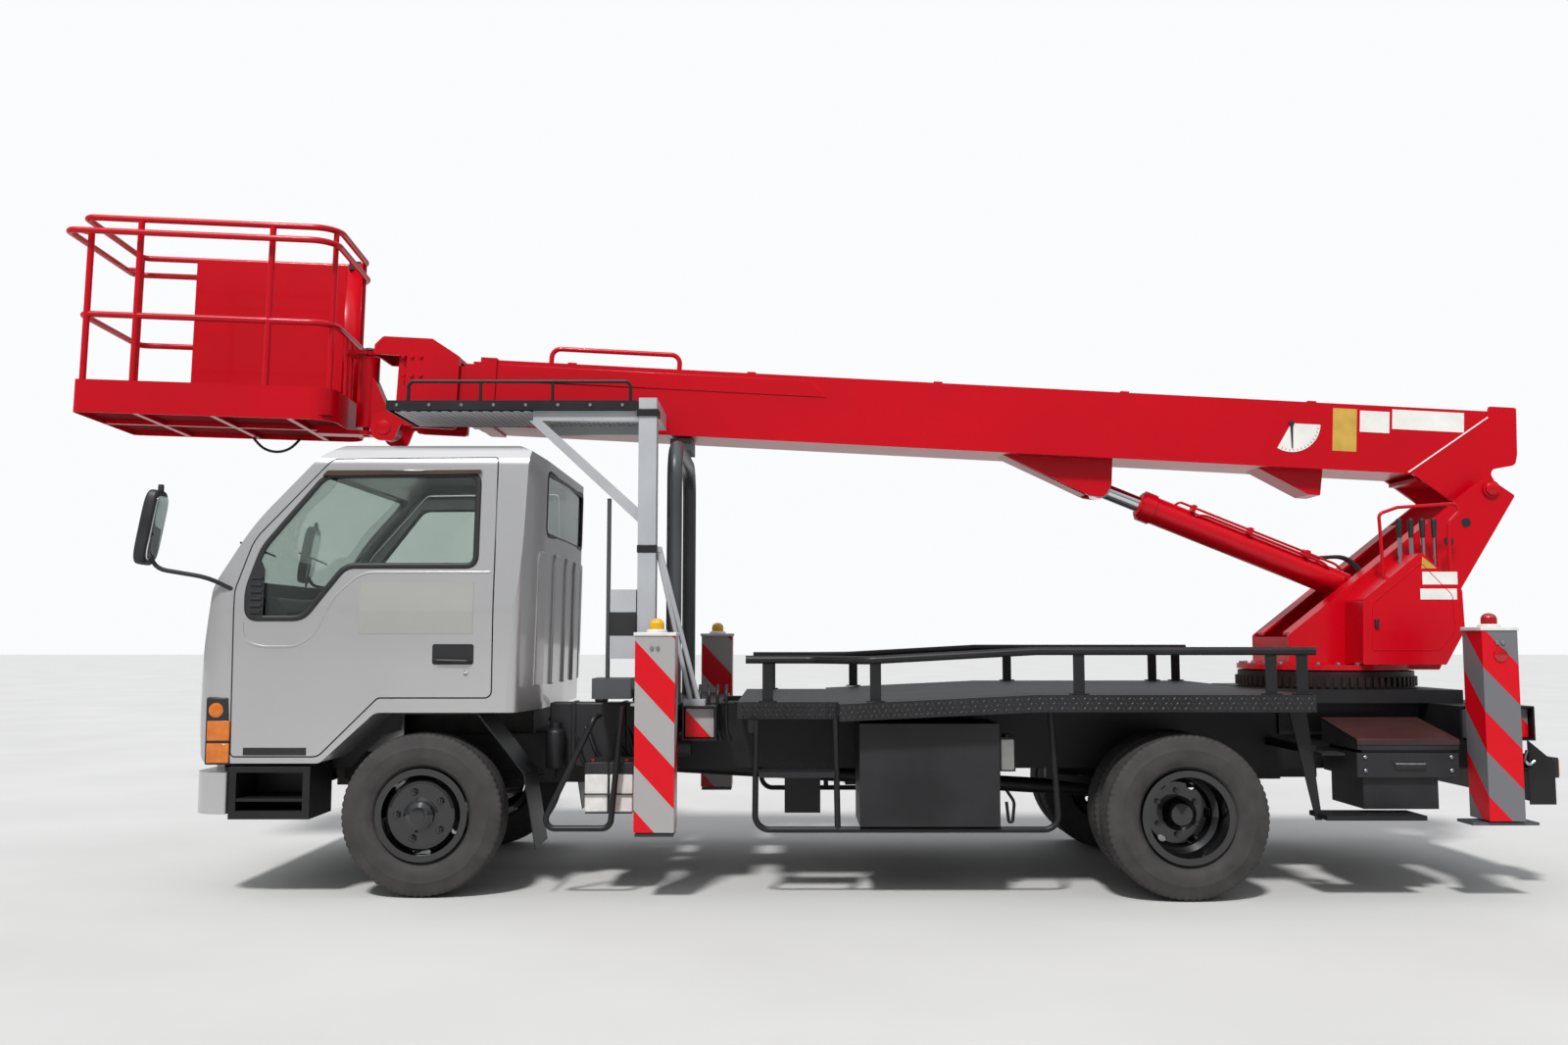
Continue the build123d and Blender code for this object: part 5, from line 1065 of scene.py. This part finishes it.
seam_line = closed_path(seam, 0.02) + [0, CABINET_FACE, 0]
piece("cabinet_door_seam", [bar(seam_line, 0.003, closed=True, sides=6)], red_enamel, "turntable")
stickers = [(-5.146, -5.331, 1.545, 1.612), (-5.132, -5.325, 1.466, 1.523)]
labels = [plate(*corners, CABINET_FACE, CABINET_FACE + 0.0015) for corners in stickers]
piece("cabinet_labels", labels, white_vinyl, "turntable")
yellow = [(-5.143, 1.630), (-5.225, 1.630), (-5.180, 1.668), (-5.150, 1.692)]
yellow = [slab(yellow, CABINET_FACE, CABINET_FACE + 0.0015)]
piece("cabinet_yellow_label", yellow, gold_vinyl, "turntable")
lock = [chest(-4.905, -4.885, CABINET_FACE, CABINET_FACE + 0.014, 1.315, 1.365)]
piece("cabinet_lock", lock, black_plastic, "turntable", edge=0.004)
CHEEK_FACE = 0.28
# Black discs stand in the cheeks' holes: painted shade of the dark inside of the table seen through them.
hole_shade_discs = [
    turned([(0, 0.0), (0.026, 0.0), (0.026, 0.0015), (0, 0.0015)], (x, CHEEK_FACE, z), "y")
    for x, z in ((-5.508, 1.892), (-5.408, 1.790))
]
piece("cheek_holes_painted_shade", on_both_sides(hole_shade_discs), seal_rubber, "turntable")
pivot_x, _, pivot_z = joint_at["boom_lift"]
pin_profile = [(0, 0), (0.034, 0), (0.034, 0.010), (0.024, 0.016), (0, 0.016)]
pin_end = turned(pin_profile, (pivot_x, 0.293, pivot_z), "y")
piece("pivot_pin_ends", on_both_sides([pin_end]), red_enamel, "turntable")

# %% [markdown]
# ## Lift cylinder
# Steel pipes run along the barrel to feed its far end, painted over with it and held by clamps.
# Two short hoses feed them at the foot, and a gland closes the end where the rod comes out.

# %% Pipes on the lift cylinder
foot = joint_at["lift_barrel_tilt"]
lift_axis = np.array(next(j for j in frame["joints"] if j["name"] == "lift_rod_out")["axis"])
square = np.array([-lift_axis[2], 0.0, lift_axis[0]])


def on_lift(points):
    """(along, y, out) from the foot pin, along the cylinder's axis."""
    along, y, out = np.moveaxis(np.asarray(points, float), -1, 0)
    return foot + along[..., None] * lift_axis + out[..., None] * square + y[..., None] * np.array([0, 1, 0])


upper_pipe = [
    (0.12, 0.04, 0.075), (0.16, 0.04, 0.094), (1.00, 0.04, 0.094), (1.10, 0.04, 0.094),
    (1.115, 0.03, 0.070),
]
lower_pipe = [(0.20, 0.07, 0.055), (0.24, 0.07, 0.071), (0.95, 0.07, 0.071), (1.00, 0.066, 0.045)]
pipes = [bar(route, 0.007, 0.03) for route in (upper_pipe, lower_pipe)]
piece("lift_pipes", pipes, red_enamel, "lift_barrel", on_lift)
clamp = [chest(a - 0.012, a + 0.012, 0.028, 0.083, 0.060, 0.103) for a in (0.34, 0.68, 1.02)]
piece("lift_clamps", clamp, red_enamel, "lift_barrel", on_lift, 0.002)
fittings = [chest(a, a + 0.05, y - 0.014, y + 0.014, 0.066, 0.112) for a, y in ((0.24, -0.03), (0.30, 0.0))]
piece("lift_fittings", fittings, red_enamel, "lift_barrel", on_lift, 0.004)
foot_hoses = []
for y in (-0.02, 0.02):
    route = [(0.26, y, 0.095), (0.12, y + 0.02, 0.16), (0.0, y + 0.05, 0.10), (0.02, y + 0.06, -0.02)]
    foot_hoses.append(bar(route, 0.010, 0.06))
piece("lift_hoses", foot_hoses, hose_rubber, "lift_barrel", on_lift)
gland = [
    (0.0465, 1.286), (0.074, 1.286), (0.074, 1.300), (0.060, 1.308), (0.0465, 1.308), (0.0465, 1.286),
]
piece("lift_gland", [turned(gland, (0, 0, 0), "x", 32)], red_enamel, "lift_barrel", on_lift)

# %% [markdown]
# ## Outriggers
# Each leg's housing ends in a pale cap with a ribbed lamp on it, yellow in front and red behind.
# Two bolts hold the cap, and the rear housings carry a round reflector.

# %% Caps, lamps and bolts of the outriggers
LAMP_RADIUS = 0.0352
LAMP_HEIGHT = 0.0705
LAMP_RIBS = 24
DOME_FROM = 0.55
for place_name, lens, cap_z in (("front", yellow_lens, 1.278), ("rear", red_lens, 1.304)):
    for side_name, side in SIDES:
        low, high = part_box(f"jack_{place_name}_{side_name}")
        leg_x, leg_y = (low.x + high.x) / 2 - AXLE_X, (low.y + high.y) / 2
        half = 0.1035 if place_name == "front" else 0.093
        body = f"outrigger_{place_name}_{side_name}"
        angle = np.linspace(0, 2 * np.pi, 96, endpoint=False)[None]
        rise = np.linspace(0, 1, 18)[:, None]
        inward = np.maximum(0, (rise - DOME_FROM) / (1 - DOME_FROM))
        radius = LAMP_RADIUS * np.sqrt(np.maximum(0, 1 - inward ** 2))
        ribbed = radius + 0.0011 * np.cos(LAMP_RIBS * angle) * (rise < 0.9) * (radius > 0)
        base_z = cap_z + 0.0125
        dome = [ribbed * np.cos(angle), ribbed * np.sin(angle), LAMP_HEIGHT * rise + 0 * angle]
        dome = np.stack(dome, -1).reshape(-1, 3) + [leg_x, leg_y, base_z]
        dome = [(dome, grid_faces(18, 96, False, True))]
        piece(f"{place_name}_lamp_{side_name}", dome, lens, body, sharp=60, slot="lamp_clear")
        near, far = leg_y - 0.099, leg_y + 0.099
        cap = [chest(leg_x - half, leg_x + half, near, far, cap_z - 0.004, cap_z + 0.0135)]
        collar = [(0.052, 0.0), (0.052, 0.010), (0.042, 0.016), (0.036, 0.016), (0.036, 0.0)]
        cap.append(turned(collar, (leg_x, leg_y, base_z), "z", 32))
        piece(f"{place_name}_cap_{side_name}", cap, pale_plastic, body, edge=0.003)
        face = leg_y + side * 0.093
        heads = [
            knob((leg_x + dx, face, cap_z - 0.062), "y", 0.010, side * 0.009) for dx in (-0.013, 0.016)
        ]
        if place_name == "rear":
            disc = [(0, 0), (0.032, 0), (0.032, side * 0.006), (0, side * 0.009)]
            disc = [turned(disc, (leg_x, face, 1.182), "y", 24)]
            piece(f"rear_reflector_{side_name}", disc, red_lens, body)
        piece(f"{place_name}_leg_bolts_{side_name}", heads, zinc, body)

# %% [markdown]
# ## Deck edges
# The edge of the deck is chequer plate too. Each lozenge is a low pointed bar, alternately leaning
# left and right. All are placed at once: one small shape, copied to every spot of a grid.


# %% Lozenges on the deck's edges
def deck_edge_z(x):
    """The height of the deck's top along x: level, then a slope, then level."""
    return np.interp(-x, [1.545, 2.045, 3.0, 4.34], [0.946, 0.946, 0.991, 0.991])


LOZENGE = np.array(
    [(-0.012, 0.0, 0.0), (0.0, 0.0, -0.005), (0.012, 0.0, 0.0), (0.0, 0.0, 0.005), (0.0, 0.0034, 0.0)]
)
LOZENGE_FACES = [(0, 1, 4), (1, 2, 4), (2, 3, 4), (3, 0, 4), (3, 2, 1, 0)]
LOZENGE_PITCH = 0.027
TOP_ROW = 0.020
ROW_PITCH = 0.023


def lozenge_rows(x_from, x_to, y):
    """A grid of spots along x in three rows, with the small shape turned by 45 degrees each way."""
    x = np.arange(x_from, x_to, LOZENGE_PITCH)
    column, row = np.meshgrid(np.arange(len(x)), np.arange(3), indexing="ij")
    spot_x = x[column] + LOZENGE_PITCH / 2 * (row % 2)
    spot_z = deck_edge_z(spot_x) - TOP_ROW - ROW_PITCH * row
    turn = np.where((column + row) % 2 == 0, np.pi / 4, -np.pi / 4)[..., None]
    local_x = LOZENGE[:, 0] * np.cos(turn) - LOZENGE[:, 2] * np.sin(turn)
    local_z = LOZENGE[:, 0] * np.sin(turn) + LOZENGE[:, 2] * np.cos(turn)
    local_y = y - 0.0003 + LOZENGE[:, 1] + 0 * local_x
    points = np.stack([spot_x[..., None] + local_x, local_y, spot_z[..., None] + local_z], -1)
    points = points.reshape(-1, 3)
    faces = [[corner + 5 * i for corner in face] for i in range(len(points) // 5) for face in LOZENGE_FACES]
    return points, faces


edges = [lozenge_rows(-2.035, -1.555, 0.86), lozenge_rows(-4.33, -2.055, 1.08)]
piece("deck_edge_lozenges", on_both_sides(edges), gloss_black, sharp=20, slot="deck_black")

# %% [markdown]
# ## Access platform
# Its floor is an open bar grating in a frame, with bolt heads along the frame's outer edge.

# %% Grating
grating = [chest(x, x + 0.004, 0.243, 0.792, 2.452, 2.470) for x in np.arange(-1.0, 0.25, 0.042)]
grating += [chest(-1.024, 0.254, y, y + 0.004, 2.456, 2.466) for y in np.arange(0.30, 0.78, 0.08)]
piece("platform_grating", grating, black_enamel)
piece("platform_mesh", [chest(-0.99, 0.225, 0.275, 0.765, 2.4225, 2.4255)], expanded_mesh)
heads = [knob((x, 0.799, 2.452), "y", 0.009, 0.006) for x in np.arange(-0.95, 0.24, 0.165)]
piece("platform_bolts", heads, zinc)
case_band = [chest(-1.0325, -0.8975, 0.6875, 0.8125, 1.275, 1.395)]
piece("gantry_case_band", case_band, black_plastic, edge=0.004)
clamp_block = [
    chest(-1.136, -1.024, 0.694, 0.806, 2.395, 2.432), chest(-1.13, -1.03, 0.70, 0.80, 1.695, 1.735),
]
piece("gantry_clamps", clamp_block, black_enamel, edge=0.004)

# %% [markdown]
# ## Boxes, batteries and bottle
# Two pale batteries with black lids stand in a tray, tied by a strap. The tool boxes at the back
# have brown lids with a wire handle, and a white bottle holds washer water. The side guard
# carries a tread for climbing up.

# %% Things hung on the chassis
cases = [chest(x0, x1, 0.57, 0.9035, 0.412, 0.598) for x0, x1 in ((-1.033, -0.920), (-0.910, -0.797))]
piece("battery_cases", cases, pale_plastic, edge=0.006)
lids = [chest(x0, x1, 0.567, 0.906, 0.598, 0.654) for x0, x1 in ((-1.035, -0.918), (-0.912, -0.795))]
lids.append(bar([(-1.037, 0.906, 0.50), (-0.793, 0.906, 0.50)], 0.012, sides=6, flat=0.3))
piece("battery_lids", lids, black_plastic, edge=0.004)
terminals = [knob((x, 0.86, 0.653), "z", 0.014, 0.016, 12) for x in (-1.0, -0.83)]
piece("battery_terminal_caps", terminals, red_lens)
bottle = [chest(-2.937, -2.855, 0.638, 0.802, 0.598, 0.767)]
piece("washer_bottle", bottle, pale_plastic, edge=0.014)
bottle_cap = [knob((-2.896, 0.76, 0.764), "z", 0.022, 0.02, 20)]
piece("washer_bottle_cap", bottle_cap, black_plastic)
lid_line = [(0.547, 0.854), (0.983, 0.7735), (0.985, 0.745), (0.980, 0.745), (0.979, 0.769), (0.547, 0.850)]
piece("rear_box_lids", on_both_sides([slab(lid_line, -5.069, -4.569, "x")]), brown_paint, edge=0.0015)
wire = [(-4.90, 0.971, 0.66), (-4.90, 0.995, 0.655), (-4.75, 0.995, 0.655), (-4.75, 0.971, 0.66)]
handle = [bar(wire, 0.004, 0.012)]
handle += [knob((x, 0.9715, z), "y", 0.009, 0.006) for x in (-5.03, -4.61) for z in (0.62, 0.685)]
piece("rear_box_handles", on_both_sides(handle), zinc)
hook = [
    (-2.90, 0.72, 0.50), (-2.94, 0.72, 0.44), (-2.93, 0.72, 0.34), (-2.91, 0.72, 0.34), (-2.90, 0.72, 0.44),
]
tread = [chest(-2.025, -1.655, 0.885, 0.965, 0.585, 0.612), bar(hook, 0.008, 0.02)]
piece("guard_tread_and_hook", tread, chequer, edge=0.003)

# %% [markdown]
# ## Back of the truck
# Lamps of three colours in a row, a blank plate, and hooks under the bumper's ends.

# %% Rear lamps, plate and hooks
REAR_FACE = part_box("rear_lamps")[0].x - AXLE_X
segments = [
    ("indicator", 0.62, 0.715, amber_lens), ("stop", 0.525, 0.612, red_lens),
    ("reversing", 0.465, 0.517, clear_lens),
]
for segment, y0, y1, lens in segments:
    cells = [plate(y0, y1, 0.567, 0.653, REAR_FACE - 0.008, REAR_FACE + 0.002, "x")]
    piece(f"rear_{segment}_lenses", on_both_sides(cells), lens, edge=0.004, slot="lamp_red")
rear_panel = [plate(-0.22, 0.22, 0.56, 0.63, -5.666, -5.656, "x")]
piece("blank_rear_plate", rear_panel, white_vinyl, edge=0.002)
hook = [(-5.52, 0.755, 0.70), (-5.50, 0.760, 0.655), (-5.525, 0.760, 0.625), (-5.555, 0.760, 0.65)]
piece("rear_hooks", on_both_sides([bar(hook, 0.007, 0.02)]), chrome)

# %% [markdown]
# ## Basket
# The red sheet on the far side carries on round the rear corner, where the solid model leaves it
# out. It is an arc in plan, carried upwards, with a thickness. A black latch sits on the top rail.

# %% Basket details
SHEET_LOW, SHEET_HIGH = 0.172, 1.052
bend_angle = np.linspace(-np.pi / 2, -np.pi * 0.97, 16)
SHEET_Y = -0.3815
arc_u = np.concatenate([[0.392], 0.385 + 0.12 * np.cos(bend_angle)])
arc_y = np.concatenate([[SHEET_Y], SHEET_Y + 0.12 + 0.12 * np.sin(bend_angle)])
levels = np.linspace(SHEET_LOW, SHEET_HIGH, 2)[:, None]
corner_sheet = np.stack([arc_u + 0 * levels, arc_y + 0 * levels, levels + 0 * arc_u], -1)
corner_sheet = [(corner_sheet.reshape(-1, 3), grid_faces(2, len(arc_u)))]
sheet_piece = piece("basket_corner_sheet", corner_sheet, red_enamel, "basket", in_basket, sharp=60)
thick = sheet_piece.modifiers.new("sheet_thickness", "SOLIDIFY")
thick.thickness = 0.004
thick.offset = 0.0
TRAY_PLATE = 0.0195
# A thin darker red sheet just under the tray's plate: painted shade on the tray's underside.
underside_shade_sheet = [chest(0.24, 1.570, -0.413, 0.413, TRAY_PLATE - 0.002, TRAY_PLATE)]
piece("tray_underside_painted_shade", underside_shade_sheet, painted_shade_red, "basket", in_basket)
latch = [chest(0.30, 0.37, -0.395, -0.365, 1.03, 1.085)]
piece("basket_latch", latch, black_plastic, "basket", in_basket, 0.004)
column_cap = [(0, 0), (0.034, 0), (0.034, 0.008), (0.022, 0.014), (0, 0.014)]
column_cap = [turned(column_cap, (COLUMN_U, 0, 0.464), "z")]
piece("column_cap", column_cap, zinc, "basket_bracket", in_basket)

# %% [markdown]
# ## Pipes behind the cab
# Steel hydraulic pipes come down from the frame beside the front outrigger.

# %% Hydraulic pipes
pipe_rows = []
for index in range(5):
    x = -1.30 - 0.045 * index
    route = [(x, 0.60, 1.02), (x, 0.64, 0.98), (x, 0.64, 0.80), (x - 0.02, 0.60, 0.74)]
    pipe_rows.append(bar(route, 0.009, 0.04))
pipe_rows.append(bar([(-1.26, 0.64, 0.93), (-1.52, 0.64, 0.93)], 0.012, sides=6, flat=0.4))
piece("hydraulic_pipes", pipe_rows, hose_rubber)
loops = []
for index in range(6):
    x, y, drop = -0.62 - 0.07 * index, 0.50 + 0.02 * (index % 3), 0.05 * (index % 2)
    route = [
        (x + 0.08, y - 0.06, 0.84), (x, y + 0.03, 0.80), (x - 0.05, y + 0.05, 0.66 - drop),
        (x - 0.14, y + 0.02, 0.60 - drop), (x - 0.20, y - 0.04, 0.70),
    ]
    loops.append(bar(route, 0.011, 0.08))
piece("frame_hoses", loops, hose_rubber)
upright = [
    (0, 0.60), (0.045, 0.60), (0.05, 0.61), (0.05, 0.78), (0.045, 0.79), (0.03, 0.80), (0.03, 0.83),
    (0, 0.83),
]
lying = [(0, -0.12), (0.055, -0.12), (0.06, -0.11), (0.06, 0.10), (0.055, 0.11), (0, 0.11)]
filters = [turned(upright, (-0.60, 0.60, 0.0), "z", 28), turned(lying, (-1.18, 0.62, 0.72), "x", 28)]
piece("oil_filters", filters, black_enamel)
tank = [chest(-1.06, -0.56, 0.44, 0.56, 0.60, 0.93)]
tank += [chest(x, x + 0.03, 0.435, 0.566, 0.595, 0.936) for x in (-0.96, -0.70)]
filler = [(0, 0.93), (0.035, 0.93), (0.035, 0.955), (0.02, 0.965), (0, 0.965)]
tank.append(turned(filler, (-0.82, 0.50, 0.0), "z"))
piece("hydraulic_tank", tank, satin_box, edge=0.012)
